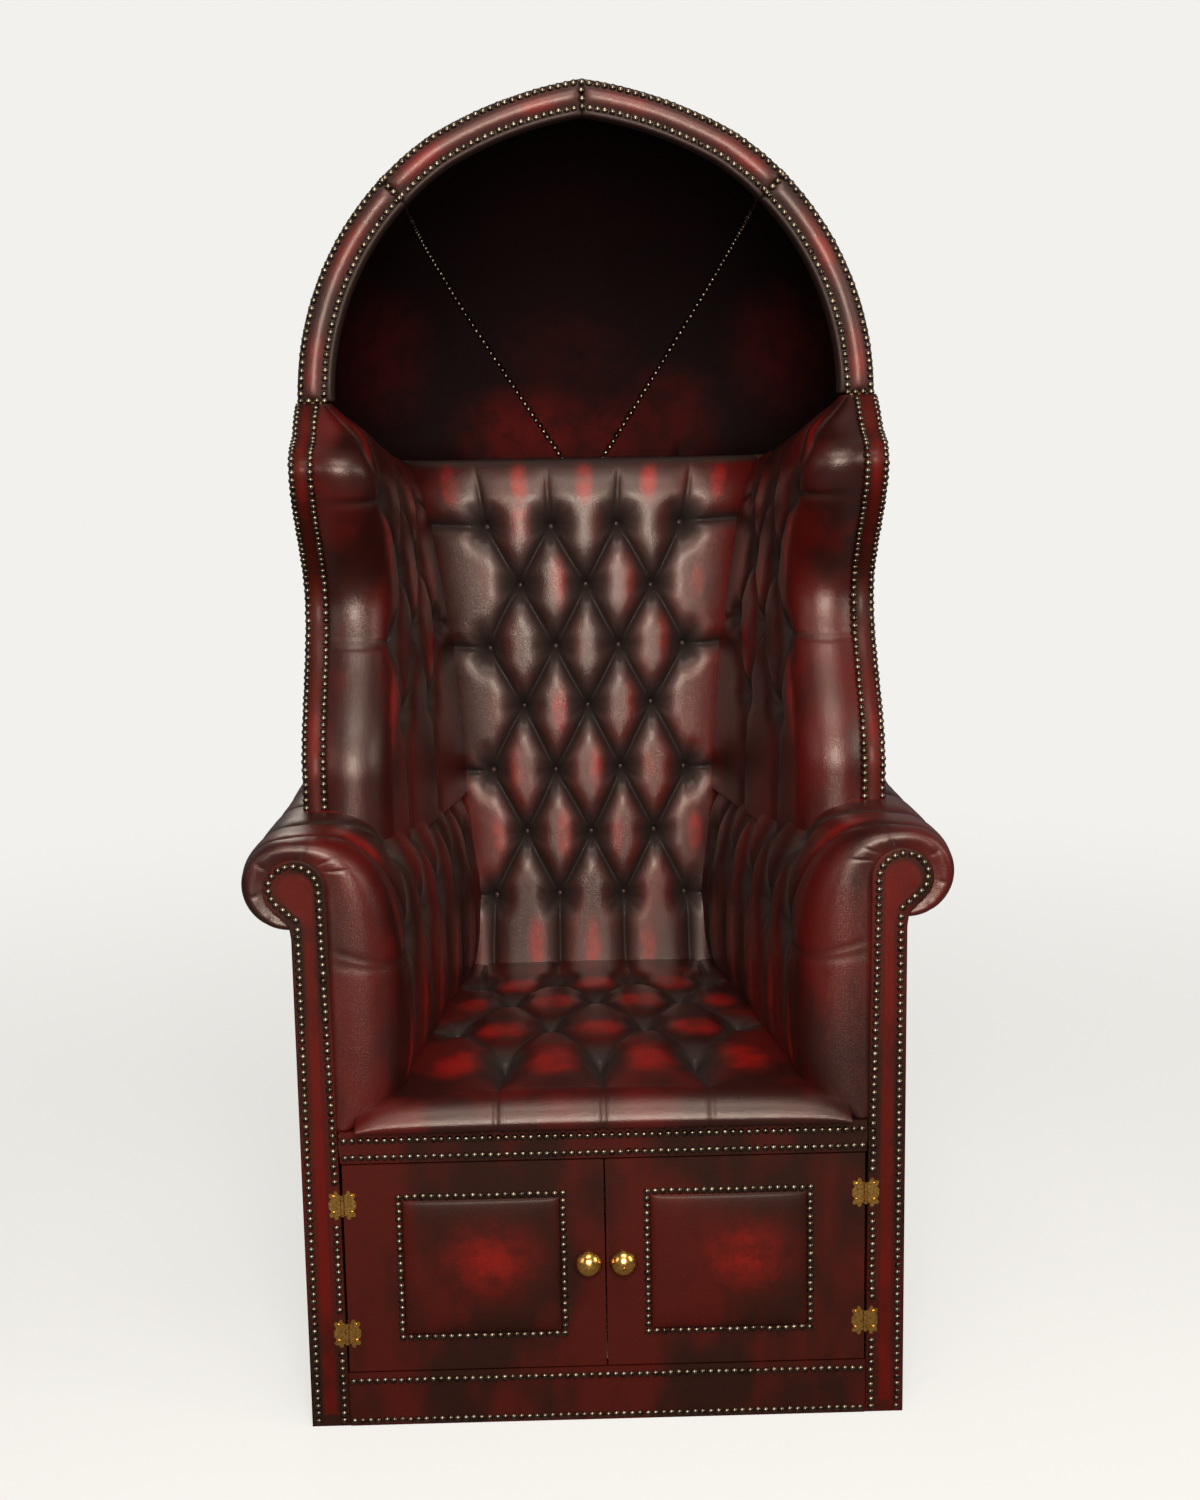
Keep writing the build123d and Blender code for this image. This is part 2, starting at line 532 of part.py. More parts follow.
def make_hinges():
    """The four butterfly hinges: leaves on the frame and on the doors, pins and screws."""
    frame_leaves = []
    pins = []
    frame_screws = []
    nodes = {}
    barrel_half = HINGE_LENGTH / 2 * LEAF_SHARES[0][1]
    for side, sign in SIDES.items():
        door_leaves = []
        for z in HINGE_HEIGHTS:
            frame_leaves.append(hinge_leaf(sign, 1, z))
            door_leaves.append(hinge_leaf(sign, -1, z))
            pin = Pos(sign * HINGE_AXIS_X, HINGE_AXIS_Y, z) * Cylinder(HINGE_PIN_RADIUS, 2 * barrel_half)
            cap = Pos(sign * HINGE_AXIS_X, HINGE_AXIS_Y, z + barrel_half) * Cylinder(
                BARREL_RADIUS, HINGE_PIN_HEAD, align=(Align.CENTER, Align.CENTER, Align.MIN))
            pins.append(pin + cap)
        nodes[f"hinge_door_leaves_{side}"] = door_leaves
        nodes[f"hinge_door_screws_{side}"] = [hinge_screw(sign, -1, z) for z in hinge_hole_heights()]
        frame_screws += [hinge_screw(sign, 1, z) for z in hinge_hole_heights()]
    nodes["hinge_frame_leaves"] = frame_leaves
    nodes["hinge_frame_screws"] = frame_screws
    nodes["hinge_pins"] = pins
    return nodes


def wing_front(z):
    """How far back the wing's front edge lies at a height."""
    keys = [(WING_FOOT_HEIGHT, WING_FOOT_FRONT), (WING_WAIST_HEIGHT, WING_WAIST_FRONT),
            (WING_EAR_HEIGHT, WING_EAR_FRONT), (HOOD_SEAM_FRONT, RIM_FRONT)]
    for (low, start), (high, end) in zip(keys, keys[1:]):
        if z <= high:
            return start + (end - start) * ease((z - low) / (high - low))
    return RIM_FRONT


def wing_slab(x_range, setback, foot):
    """A slab with the wing's side profile between two distances from the middle."""
    x = min(x_range)
    step = WING_HEIGHT / WING_PROFILE_STEPS
    heights = [WING_FOOT_HEIGHT + place * step for place in range(WING_PROFILE_STEPS + 1)]
    front = [(x, wing_front(z) + setback, z) for z in heights]
    start = (x, WING_FOOT_FRONT + setback, foot)
    back_top = (x, BOARD_BACK, HOOD_SEAM_FRONT)
    back_foot = (x, BOARD_BACK, foot)
    edges = [Line(start, front[0]), Spline(*front, tangents=[UP, UP]), Line(front[-1], back_top),
             Line(back_top, back_foot), Line(back_foot, start)]
    return extrude(outline(*edges), max(x_range) - x, dir=(1, 0, 0)) & below_hood_seam()


def make_side_skins():
    """The leather on the flat sides, under the arm's roll and up the wing, and the strips on the wings' edges."""
    nodes = {}
    for side, sign in SIDES.items():
        skin = (sign * (HALF_WIDTH - SKIN), sign * HALF_WIDTH)
        roll = rod((sign * ROLL_CENTRE, ROLL_HEIGHT), ROLL_RADIUS + GAP, (-OVERRUN, BODY_DEPTH))
        lower = block(skin, (BOARD_FRONT, BOARD_BACK), (SHOE_LIFT, ROLL_HEIGHT)) - roll
        upper = wing_slab(skin, WING_PIECE_SETBACK, ROLL_HEIGHT) - roll
        strip = (sign * (HALF_WIDTH - WING_FACING_WIDTH), sign * HALF_WIDTH)
        foot = ROLL_HEIGHT + ROLL_RADIUS + GAP
        nodes[f"outer_cover_{side}"] = [lower.solid(), upper.solids().sort_by(Axis.Z)[-1]]
        facing = wing_slab(strip, 0.0, foot) - wing_slab(strip, WING_FACING_THICKNESS, foot - OVERRUN)
        nodes[f"wing_facing_{side}"] = facing.solids().sort_by(SortBy.VOLUME)[-1]
    return nodes


def arm_curves(sign, y, grow, roll):
    """The arm pad's inner curves at one depth: up from the seat to the belly, and over the top."""
    share = y / BODY_DEPTH
    seat_half = arm_seat_half(y) - grow
    belly_half = ARM_BELLY_FRONT + (ARM_BELLY_BACK - ARM_BELLY_FRONT) * share - grow
    foot = PAD_FOOT + ARM_UPSTAND
    rise = ARM_BELLY_HEIGHT - foot
    crown_z = ROLL_HEIGHT + roll
    shoulder = (ROLL_CENTRE - belly_half, crown_z - ARM_BELLY_HEIGHT)
    start = (sign * seat_half, y, foot)
    low_via = (sign * (belly_half + (seat_half - belly_half) * ARM_LOW_VIA_SHARES[0]), y,
               foot + rise * ARM_LOW_VIA_SHARES[1])
    belly = (sign * belly_half, y, ARM_BELLY_HEIGHT)
    top_via = (sign * (belly_half + shoulder[0] * ARM_SHOULDER_VIA_SHARES[0]), y,
               ARM_BELLY_HEIGHT + shoulder[1] * ARM_SHOULDER_VIA_SHARES[1])
    crown = (sign * ROLL_CENTRE, y, crown_z)
    return ThreePointArc(start, low_via, belly), ThreePointArc(belly, top_via, crown)


def arm_seat_half(y):
    """Half the width between the arms, just above the seat's edge."""
    return ARM_SEAT_FRONT + (ARM_SEAT_BACK - ARM_SEAT_FRONT) * y / BODY_DEPTH


def arm_section(sign, y, grow):
    """The arm pad's cross-section at one depth: seat side, belly, and the roll over the top."""
    roll = ROLL_RADIUS + grow
    low, top = arm_curves(sign, y, grow, roll)
    back_x = sign * (SIDE_BOARD_INNER - GAP)
    slant = roll * math.sqrt(0.5)
    seat_edge = low @ 0
    crown = top @ 1
    outer = (sign * (ROLL_CENTRE + roll), y, ROLL_HEIGHT)
    under = (sign * ROLL_CENTRE, y, ROLL_HEIGHT - roll)
    under_inner = (back_x, y, ROLL_HEIGHT - roll)
    foot_outer = (back_x, y, PAD_FOOT)
    foot_inner = (seat_edge.X, y, PAD_FOOT)
    return outline(Line(foot_outer, foot_inner), Line(foot_inner, seat_edge), low, top,
                   ThreePointArc(crown, (sign * (ROLL_CENTRE + slant), y, ROLL_HEIGHT + slant), outer),
                   ThreePointArc(outer, (sign * (ROLL_CENTRE + slant), y, ROLL_HEIGHT - slant), under),
                   Line(under, under_inner), Line(under_inner, foot_outer))


def arm_form(sign, grow):
    """The arm pad's whole outer form, made larger by grow: a rounded front edge, then a straight taper."""
    third = ARM_FRONT_ROUNDING / 3
    nose = loft([arm_section(sign, 0, grow - ARM_FRONT_ROUNDING), arm_section(sign, third, grow - third),
                 arm_section(sign, ARM_FRONT_ROUNDING, grow)], ruled=True)
    length = loft([arm_section(sign, ARM_FRONT_ROUNDING, grow), arm_section(sign, CORNER_START + ARM_TUCK, grow)],
                  ruled=True)
    return nose + length


def make_arms():
    """The arms' half-round rails, and the tufted pads that roll over them."""
    nodes = {}
    places = {}
    for side, sign in SIDES.items():
        centre = (sign * ROLL_CENTRE, ROLL_HEIGHT)
        inner_half = block((0, sign * (BOARD_OUTER + GAP)), (-OVERRUN, BODY_DEPTH), (0, BODY_HEIGHT))
        nodes[f"arm_rail_{side}"] = rod(centre, ARM_RAIL_RADIUS, (BOARD_FRONT, BOARD_BACK)) - inner_half
        board = block((sign * (SIDE_BOARD_INNER - GAP), sign * (BOARD_OUTER + GAP)), (-OVERRUN, BODY_DEPTH),
                      (0, SIDE_BOARD_TOP + GAP))
        wing = block((sign * (WING_BOARD_INNER - GAP), sign * (HALF_WIDTH + GAP)),
                     (WING_FOOT_FRONT - GAP, BODY_DEPTH), (SIDE_BOARD_TOP - GAP, BODY_HEIGHT))
        corner_half = plan_half(CORNER_START + ARM_TUCK, LINING_INSET) - GAP
        corner = block((sign * corner_half, sign * BODY_WIDTH), (BOARD_BACK, BODY_DEPTH), (0, BODY_HEIGHT))
        rail = rod(centre, ARM_RAIL_RADIUS + GAP, (FRONT_THICKNESS, BODY_DEPTH))
        places[side] = arm_tufts(sign)
        hollows = [tuft(point, normal, WING_TUFT_DEPTH) for point, normal in places[side]]
        pad = arm_form(sign, 0.0) - [board, wing, corner, rail, facing_clearance(sign), back_form(GAP)] - hollows
        nodes[f"arm_pad_{side}"] = pad.solids().sort_by(SortBy.VOLUME)[-1]
    return nodes, places


def arm_tufts(sign):
    """The arm's tufts: a row low on the inner face, and one on the shoulder set half a pitch along."""
    found = []
    for column in range(ARM_TUFT_COUNT):
        for half_step, curve, share in ((0.0, 0, ARM_LOW_TUFT_SHARE), (0.5, 1, ARM_TOP_TUFT_SHARE)):
            y = ARM_TUFT_FIRST + (column + half_step) * ARM_TUFT_PITCH
            edge = arm_curves(sign, y, 0.0, ROLL_RADIUS)[curve]
            point = edge @ share
            normal = (edge % share).cross(Vector(0, 1, 0)) * sign
            if curve == 0 or y < WING_FOOT_FRONT + WING_FACING_WIDTH:
                found.append((point, normal))
    return found


def back_face(z):
    """How far back the middle of the back pad's face lies at a height."""
    return BACK_FOOT + BACK_LEAN * (z - DECK_HEIGHT) / (BACK_TOP_HEIGHT - DECK_HEIGHT)


def back_half(z):
    """Half the visible width of the back at a height: nearly straight, then flared towards the top."""
    share = max(0.0, (z - BACK_FLARE_START) / (BACK_TOP_HEIGHT - BACK_FLARE_START))
    return BACK_FOOT_HALF + (BACK_HEAD_HALF - BACK_FOOT_HALF) * share**2


def back_form(grow):
    """The back pad before it is tufted, made larger by grow."""
    def section(z, shrink):
        half = back_half(z) + BACK_TUCK + grow - shrink / 2
        face = back_face(z) - grow + shrink
        side = back_face(z) + BACK_CROWN - grow + shrink / 2
        rear = back_face(z) + BACK_THICKNESS + grow
        return outline(Line((-half, rear, z), (half, rear, z)), Line((half, rear, z), (half, side, z)),
                       ThreePointArc((half, side, z), (0, face, z), (-half, side, z)),
                       Line((-half, side, z), (-half, rear, z)))
    height = BACK_TOP_HEIGHT - PAD_FOOT
    stations = [(PAD_FOOT - grow, BACK_ROUNDING / 2)]
    stations += [(PAD_FOOT + height * share, 0.0) for share in BACK_STATION_SHARES]
    stations += [(BACK_TOP_HEIGHT + grow, BACK_ROUNDING)]
    return loft([section(z, shrink) for z, shrink in stations], ruled=True)


def back_surface(x, z):
    """A point on the back pad's crowned face."""
    return (x, back_face(z) + BACK_CROWN * (x / (back_half(z) + BACK_TUCK)) ** 2, z)


def make_back():
    """The back: its frame and webbing, and the buttoned pad."""
    rows = []
    for row in range(BACK_TUFT_ROWS):
        count = 4 - row % 2
        z = BACK_TUFT_FIRST + row * BACK_TUFT_PITCH_Z
        rows.append([back_surface((column - (count - 1) / 2) * BACK_TUFT_PITCH_X, z) for column in range(count)])
    lean = Vector(0, -(BACK_TOP_HEIGHT - DECK_HEIGHT), BACK_LEAN)
    cuts = [tuft(point, lean, TUFT_DEPTH) for row in rows for point in row]
    cuts += diamond_pleats(rows, lean)
    last = BACK_TOP_HEIGHT - BACK_ROUNDING / 2
    first = PAD_FOOT + BACK_ROUNDING
    for point in rows[-1]:
        cuts.append(pleat(point, back_surface(point[0], last), lean))
    for point in rows[0]:
        cuts.append(pleat(point, back_surface(point[0], first), lean))
    buttons = [button(point, lean, TUFT_DEPTH) for row in rows for point in row]
    pad = (back_form(0.0) - cuts).solids().sort_by(SortBy.VOLUME)[-1]
    return {"back_pad": pad, "back_buttons": buttons, **make_back_frame()}


def diamond_pleats(rows, normal):
    """The folds that join each button to its neighbours in the next row."""
    folds = []
    for row, following in zip(rows, rows[1:]):
        reach = max(abs(b[0] - a[0]) for a, b in zip(row, row[1:])) * PLEAT_REACH_SHARE
        for start in row:
            folds += [pleat(start, end, normal) for end in following if abs(end[0] - start[0]) < reach]
    return folds


def make_back_frame():
    """Two leaning posts on straight legs, three cross rails, and webbing in front of them."""
    depth = BACK_THICKNESS + GAP + WEB_THICKNESS
    rail_top = BACK_TOP_HEIGHT - BACK_RAIL_HEIGHT
    foot_y = back_face(DECK_HEIGHT) + depth
    posts = []
    for sign in SIDES.values():
        x = sign * BACK_POST_CENTRE
        half = BACK_POST / 2
        side = polygon([(x - half, foot_y, SHOE_LIFT), (x - half, foot_y + BACK_POST, SHOE_LIFT),
                        (x - half, foot_y + BACK_POST, DECK_HEIGHT),
                        (x - half, back_face(rail_top) + depth + BACK_POST, rail_top),
                        (x - half, back_face(rail_top) + depth, rail_top), (x - half, foot_y, DECK_HEIGHT)])
        posts.append(extrude(side, BACK_POST, dir=(1, 0, 0)))
    frame = posts[0] + posts[1]
    for low in (SHOE_LIFT, DECK_HEIGHT - BACK_RAIL_HEIGHT, rail_top - BACK_RAIL_HEIGHT):
        near = foot_y if low < DECK_HEIGHT - BACK_RAIL_HEIGHT / 2 else back_face(rail_top) + depth
        reach = plan_half(near + BACK_POST, LINING_INSET) - GAP
        frame += block((-reach, reach), (near, near + BACK_POST), (low, low + BACK_RAIL_HEIGHT))
    webs = []
    step = (rail_top - PAD_FOOT - WEB_WIDTH) / (BACK_WEB_COUNT - 1)
    reach = BACK_POST_CENTRE + BACK_POST / 2
    for place in range(BACK_WEB_COUNT):
        low = PAD_FOOT + place * step
        high = low + WEB_WIDTH
        near = BACK_THICKNESS + GAP
        side = polygon([(-reach, back_face(low) + near, low), (-reach, back_face(low) + depth, low),
                        (-reach, back_face(high) + depth, high), (-reach, back_face(high) + near, high)])
        webs.append(extrude(side, 2 * reach, dir=(1, 0, 0)))
    return {"back_frame": frame, "back_webbing": webs}


def seat_form():
    """The seat pad before it is tufted: a rounded nose, a crowned top and a gentle taper to the back."""
    def section(y, low, drop, draw_in):
        half = arm_seat_half(max(0.0, y)) - 2 * GAP - draw_in
        side = PAD_FOOT + SEAT_CROWN_HEIGHT - SEAT_CROWN_DROP - drop
        crown = PAD_FOOT + SEAT_CROWN_HEIGHT - drop
        foot = PAD_FOOT + low
        return outline(Line((-half, y, foot), (half, y, foot)), Line((half, y, foot), (half, y, side)),
                       ThreePointArc((half, y, side), (0, y, crown), (-half, y, side)),
                       Line((-half, y, side), (-half, y, foot)))
    far = BACK_FOOT + SEAT_TUCK
    return loft([section(-SEAT_NOSE, SEAT_NOSE_LIFT, SEAT_NOSE_DROP, SEAT_NOSE_DRAW_IN),
                 section(-SEAT_NOSE * SEAT_NOSE_MIDDLE_SHARE, SEAT_NOSE_LIFT / 3, SEAT_NOSE_DROP / 2, SEAT_NOSE_DRAW_IN / 3),
                 section(0, 0, SEAT_NOSE_DROP / 4, 0), section(SEAT_NOSE, 0, 0, 0),
                 section(far - SEAT_TUCK * 2, 0, 0, 0), section(far, 0, SEAT_NOSE_DROP / 2, 0)], ruled=True)


def make_seat():
    """The seat: a frame and webbing on the cupboard's ceiling, and the tufted pad."""
    half = SIDE_BOARD_INNER - GAP
    inner = half - SEAT_RAIL_WIDTH
    far = BODY_DEPTH - SEAT_FRAME_REAR_ROOM
    low = OPENING_TOP + BOARD
    frame = block((-half, half), (BOARD_FRONT, far), (low, SEAT_FRAME_TOP))
    frame -= block((-inner, inner), (BOARD_FRONT + SEAT_RAIL_WIDTH, far - SEAT_RAIL_WIDTH),
                   (low - OVERRUN, SEAT_FRAME_TOP + OVERRUN))
    for sign in SIDES.values():
        frame -= block((sign * (plan_half(far, LINING_INSET) - GAP), sign * BODY_WIDTH), (BOARD_BACK, BODY_DEPTH),
                       (low - OVERRUN, SEAT_FRAME_TOP + OVERRUN))
    webs = []
    pitch = 2 * inner / SEAT_WEB_COUNT
    for place in range(SEAT_WEB_COUNT):
        x = (place - (SEAT_WEB_COUNT - 1) / 2) * pitch
        webs.append(block((x - WEB_WIDTH / 2, x + WEB_WIDTH / 2), (BOARD_FRONT, far),
                          (SEAT_FRAME_TOP, SEAT_FRAME_TOP + WEB_THICKNESS)))
    rows = []
    crown = PAD_FOOT + SEAT_CROWN_HEIGHT
    for row in range(SEAT_TUFT_ROWS):
        count = 3 + row % 2
        y = SEAT_TUFT_FIRST + row * SEAT_TUFT_PITCH_Y
        pitch_here = SEAT_TUFT_PITCH_X * arm_seat_half(y) / arm_seat_half(SEAT_TUFT_FIRST)
        places = [(column - (count - 1) / 2) * pitch_here for column in range(count)]
        rows.append([(x, y, crown - SEAT_CROWN_DROP * (x / arm_seat_half(y)) ** 2) for x in places])
    cuts = [tuft(point, UP, SEAT_TUFT_DEPTH) for row in rows for point in row]
    cuts += diamond_pleats(rows, UP)
    for x, y, z in rows[0]:
        cuts.append(pleat((x, y, z), (x, SEAT_NOSE, z), UP))
    buttons = [button(point, UP, SEAT_TUFT_DEPTH) for row in rows for point in row]
    pad = (seat_form() - back_form(GAP) - cuts).solids().sort_by(SortBy.VOLUME)[-1]
    return {"seat_frame": frame, "seat_webbing": webs, "seat_pad": pad, "seat_buttons": buttons}


def wing_half_front(z):
    """Half the width between the wings' front rolls at a height."""
    share = max(0.0, (z - WING_THINNING_START) / (HOOD_SEAM_FRONT - WING_THINNING_START))
    return WING_FRONT_HALF + (WING_TOP_HALF - WING_FRONT_HALF) * share**2


def wing_section(sign, z):
    """The wing pad in plan at one height: a rounded nose on the front edge, then a flat run to the back."""
    front = wing_front(z) + WING_PAD_SETBACK
    outer = WING_BOARD_INNER - GAP
    inner = wing_half_front(z)
    start = (sign * outer, front, z)
    via = (sign * (inner + (outer - inner) / 3), front - WING_PAD_NOSE / 2, z)
    shoulder = (sign * inner, front + WING_ROLL, z)
    tuck = (sign * (back_half(z) + GAP), back_face(z) + WING_TUCK, z)
    tuck_half = min(outer, plan_half(back_face(z) + WING_TUCK, LINING_INSET)) - GAP
    corner = (sign * tuck_half, back_face(z) + WING_TUCK, z)
    side = (sign * outer, BOARD_BACK, z)
    return outline(ThreePointArc(start, via, shoulder), Line(shoulder, tuck), Line(tuck, corner), Line(corner, side),
                   Line(side, start))


def wing_tufts(sign):
    """The wing's tufts with their normals, row by row; every other row starts at the front roll's edge."""
    rows = []
    for row in range(WING_TUFT_ROWS):
        z = WING_TUFT_FIRST + row * WING_TUFT_PITCH
        front = Vector(sign * wing_half_front(z), wing_front(z) + WING_PAD_SETBACK + WING_ROLL, z)
        back = Vector(sign * back_half(z), back_face(z) + WING_TUCK, z)
        normal = (back - front).cross(Vector(*UP)) * -sign
        rows.append([(front + (back - front) * share, normal) for share in WING_TUFT_SHARES[row % 2]])
    return rows


def wing_pleats(sign):
    """The folds between the wing's tufts, and the level ones over its front roll."""
    rows = wing_tufts(sign)
    folds = []
    for row, following in zip(rows, rows[1:]):
        reach = max((b[0] - a[0]).length for a, b in zip(row, row[1:])) * PLEAT_REACH_SHARE
        for start, normal in row:
            folds += [pleat(tuple(start), tuple(end), tuple(normal)) for end, _ in following
                      if abs(end.Y - start.Y) < reach]
    for row in rows:
        start, normal = row[0]
        front_y = wing_front(start.Z) + WING_PAD_SETBACK
        if start.Y < front_y + WING_ROLL + TUFT_MOUTH_RADIUS:
            end = (sign * WING_BOARD_INNER, front_y - WING_PAD_NOSE / 2, start.Z)
            folds.append(pleat(tuple(start), end, (-sign, -1, 0)))
    return folds


def make_wings():
    """The wings: flat side frames that stand on the side boards, and the pads inside them."""
    nodes = {}
    places = {}
    heights = [WING_PAD_FOOT, WING_FOOT_HEIGHT, (WING_FOOT_HEIGHT + WING_WAIST_HEIGHT) / 2, WING_WAIST_HEIGHT,
               (WING_WAIST_HEIGHT + WING_EAR_HEIGHT) / 2, WING_EAR_HEIGHT, (WING_EAR_HEIGHT + HOOD_SEAM_FRONT) / 2,
               HOOD_SEAM_FRONT]
    for side, sign in SIDES.items():
        frame = (sign * WING_BOARD_INNER, sign * BOARD_OUTER)
        strip = (sign * (HALF_WIDTH - WING_FACING_WIDTH - GAP), sign * HALF_WIDTH)
        places[side] = [place for row in wing_tufts(sign) for place in row]
        form = loft([wing_section(sign, z) for z in heights], ruled=True) & below_hood_seam(-GAP)
        strip_room = wing_slab(strip, -GAP, WING_PAD_FOOT)
        strip_room -= wing_slab(strip, WING_PIECE_SETBACK, WING_PAD_FOOT - OVERRUN)
        cuts = [strip_room, arm_form(sign, GAP), back_form(GAP)]
        cuts += [tuft(point, normal, WING_TUFT_DEPTH) for point, normal in places[side]] + wing_pleats(sign)
        nodes[f"wing_frame_{side}"] = wing_slab(frame, WING_PIECE_SETBACK, SIDE_BOARD_TOP + GAP)
        nodes[f"wing_pad_{side}"] = (form - cuts).solids().sort_by(SortBy.VOLUME)[-1]
    return nodes, places


def lining_side(sign):
    """Half-space blocks on one side of a lining seam, set back by half the seam's gap."""
    hub = Vector(0, RIM_BACK, SPRING_HEIGHT - LINING_HUB_DROP)
    out, up = LINING_HEAD_SHARES
    rim = Vector(sign * HALF_WIDTH * out, RIM_BACK, SPRING_HEIGHT + HOOD_RISE * up)
    foot = Vector(sign * HALF_WIDTH * LINING_FOOT_SHARE, BODY_DEPTH - LINING_INSET, HOOD_SEAM_BACK)
    normal = (rim - hub).cross(foot - hub)
    if normal.X * sign < 0:
        normal = -normal
    place = Plane(origin=hub, z_dir=normal)
    size = 2 * BODY_HEIGHT
    return [place * Pos(0, 0, lift) * Box(size, size, size, align=(Align.CENTER, Align.CENTER, Align.MIN))
            for lift in (GAP / 2, -GAP / 2)]


def make_hood():
    """The hood: a shell on a wooden hoop, its leather, three lining panels and four padded rim pieces."""
    lining = hood_wall(LINING_INSET, LINING_INSET + LINING)
    beyond_left, with_left = lining_side(-1)
    beyond_right, with_right = lining_side(1)
    hoop_range = (RIM_FRONT + HOOP_INSET, RIM_BACK - GAP)
    hoop = rim_band(HOOP_INSET, HOOP_INSET + HOOP_WIDTH, hoop_range)
    nodes = {"outer_back_cover": u_wall(0, SKIN, SHOE_LIFT),
             "back_shell": u_wall(SHELL_INSET, SHELL_INSET + SHELL, 0),
             "hood_shell": hood_wall(SHELL_INSET, SHELL_INSET + SHELL),
             "hood_cover": hood_wall(0, SKIN),
             "hood_lining_left": lining & beyond_left,
             "hood_lining_right": lining & beyond_right,
             "hood_lining_centre": lining - with_left - with_right,
             "hood_hoop": hoop}
    band = rim_band(0, RIM_WIDTH, (RIM_FRONT, RIM_BACK - GAP))
    front_edges = [edge for edge in band.faces().sort_by(Axis.Y)[0].edges() if edge.length > 2 * RIM_WIDTH]
    band = fillet(front_edges, RIM_ROUNDING)
    hoop_room = (RIM_FRONT + HOOP_INSET - GAP, RIM_BACK + GAP)
    band -= rim_band(HOOP_INSET - GAP, HOOP_INSET + HOOP_WIDTH + GAP, hoop_room)
    nodes.update(split_rim(band))
    return nodes


def split_rim(band):
    """The rim's padding in four lengths, joined at the crown and half-way up each side."""
    nodes = {}
    size = BODY_HEIGHT
    y_range = (0, BODY_DEPTH)
    joint = 90 * RIM_JOINT_SHARE
    for side, sign in SIDES.items():
        half = band & block((sign * GAP / 2, sign * size), y_range, (0, 2 * BODY_HEIGHT))
        hub = Pos(0, 0, SPRING_HEIGHT) * Rot(0, -sign * joint, 0)
        upper = hub * block((0, sign * size), y_range, (GAP / 2, size))
        lower = hub * block((-sign * size, sign * size), y_range, (-size, -GAP / 2))
        nodes[f"rim_roll_upper_{side}"] = (half & (upper + hub * block((-sign * size, 0), y_range, (GAP / 2, size))))
        nodes[f"rim_roll_lower_{side}"] = half & lower
    return nodes


def write_parts(nodes):
    """Writes each node's solids, moved so that the origin is under the middle of the chair."""
    os.makedirs("parts", exist_ok=True)
    for name, shape in nodes.items():
        solids = []
        for piece in shape if isinstance(shape, list) else [shape]:
            solids += [Pos(0, ORIGIN_SHIFT, 0) * solid for solid in piece.solids()]
        export_step(Compound(children=solids) if len(solids) > 1 else solids[0], f"parts/{name}.step")


def main():
    nodes = {**make_base(), **make_doors(), **make_hinges(), **make_side_skins()}
    arms, arm_places = make_arms()
    wings, wing_places = make_wings()
    nodes.update(arms)
    nodes.update(wings)
    nodes.update(make_back())
    nodes.update(make_seat())
    nodes.update(make_hood())
    places = [place for group in (arm_places, wing_places) for found in group.values() for place in found]
    nodes["side_buttons"] = [button(point, normal, WING_TUFT_DEPTH) for point, normal in places]
    write_parts(nodes)


main()
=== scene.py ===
"""A hooded hall porter's chair: buttoned leather, nails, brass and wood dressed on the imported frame."""
import json
import logging
import math
import random
from dataclasses import dataclass, field
from enum import Enum
from typing import Any, Callable, Sequence

import bmesh
import bpy
import numpy as np
from mathutils import Matrix, Vector
from mathutils.bvhtree import BVHTree


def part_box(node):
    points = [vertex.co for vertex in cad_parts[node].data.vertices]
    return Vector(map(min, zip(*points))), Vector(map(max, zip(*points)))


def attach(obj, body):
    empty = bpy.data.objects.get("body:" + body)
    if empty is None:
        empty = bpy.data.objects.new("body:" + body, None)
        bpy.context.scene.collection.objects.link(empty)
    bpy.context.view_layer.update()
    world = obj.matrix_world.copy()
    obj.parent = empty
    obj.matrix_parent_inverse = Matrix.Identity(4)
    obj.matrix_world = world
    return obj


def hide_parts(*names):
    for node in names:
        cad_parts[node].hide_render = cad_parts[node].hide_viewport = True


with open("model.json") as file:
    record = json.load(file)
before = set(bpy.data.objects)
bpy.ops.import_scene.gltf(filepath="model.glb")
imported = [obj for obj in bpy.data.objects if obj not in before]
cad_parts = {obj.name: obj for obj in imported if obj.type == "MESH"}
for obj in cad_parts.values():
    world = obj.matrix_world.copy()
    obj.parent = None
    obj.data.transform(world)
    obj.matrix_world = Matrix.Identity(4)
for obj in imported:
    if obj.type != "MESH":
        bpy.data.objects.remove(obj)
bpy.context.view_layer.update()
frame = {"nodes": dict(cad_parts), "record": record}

MM = 0.001
FRONT_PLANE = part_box("seat_rail")[0].y
log = logging.getLogger("porter_chair")

Point = tuple[float, float]
Place = Callable[[np.ndarray, float], np.ndarray]
Seats = list[tuple[np.ndarray, np.ndarray]]
Tree = bpy.types.NodeTree
Socket = bpy.types.NodeSocket
LEATHER = "oxblood_leather"
BOARD_LEATHER = "flat_leather"


class Side(Enum):
    """A side of the chair, seen from the front; its value is the sign of X."""

    LEFT = -1
    RIGHT = 1

    @property
    def word(self) -> str:
        """The side's word in a node's name."""
        return self.name.lower()


def metres(points: np.ndarray) -> np.ndarray:
    """Turns chair points in millimetres, with Y from the front boards, into row frame metres."""
    return points * MM + np.array([0.0, FRONT_PLANE, 0.0])


def smooth(share: np.ndarray | float) -> np.ndarray | float:
    """Eases a share between 0 and 1 so that it starts and stops gently."""
    clamped = np.clip(share, 0.0, 1.0)
    return clamped * clamped * (3 - 2 * clamped)


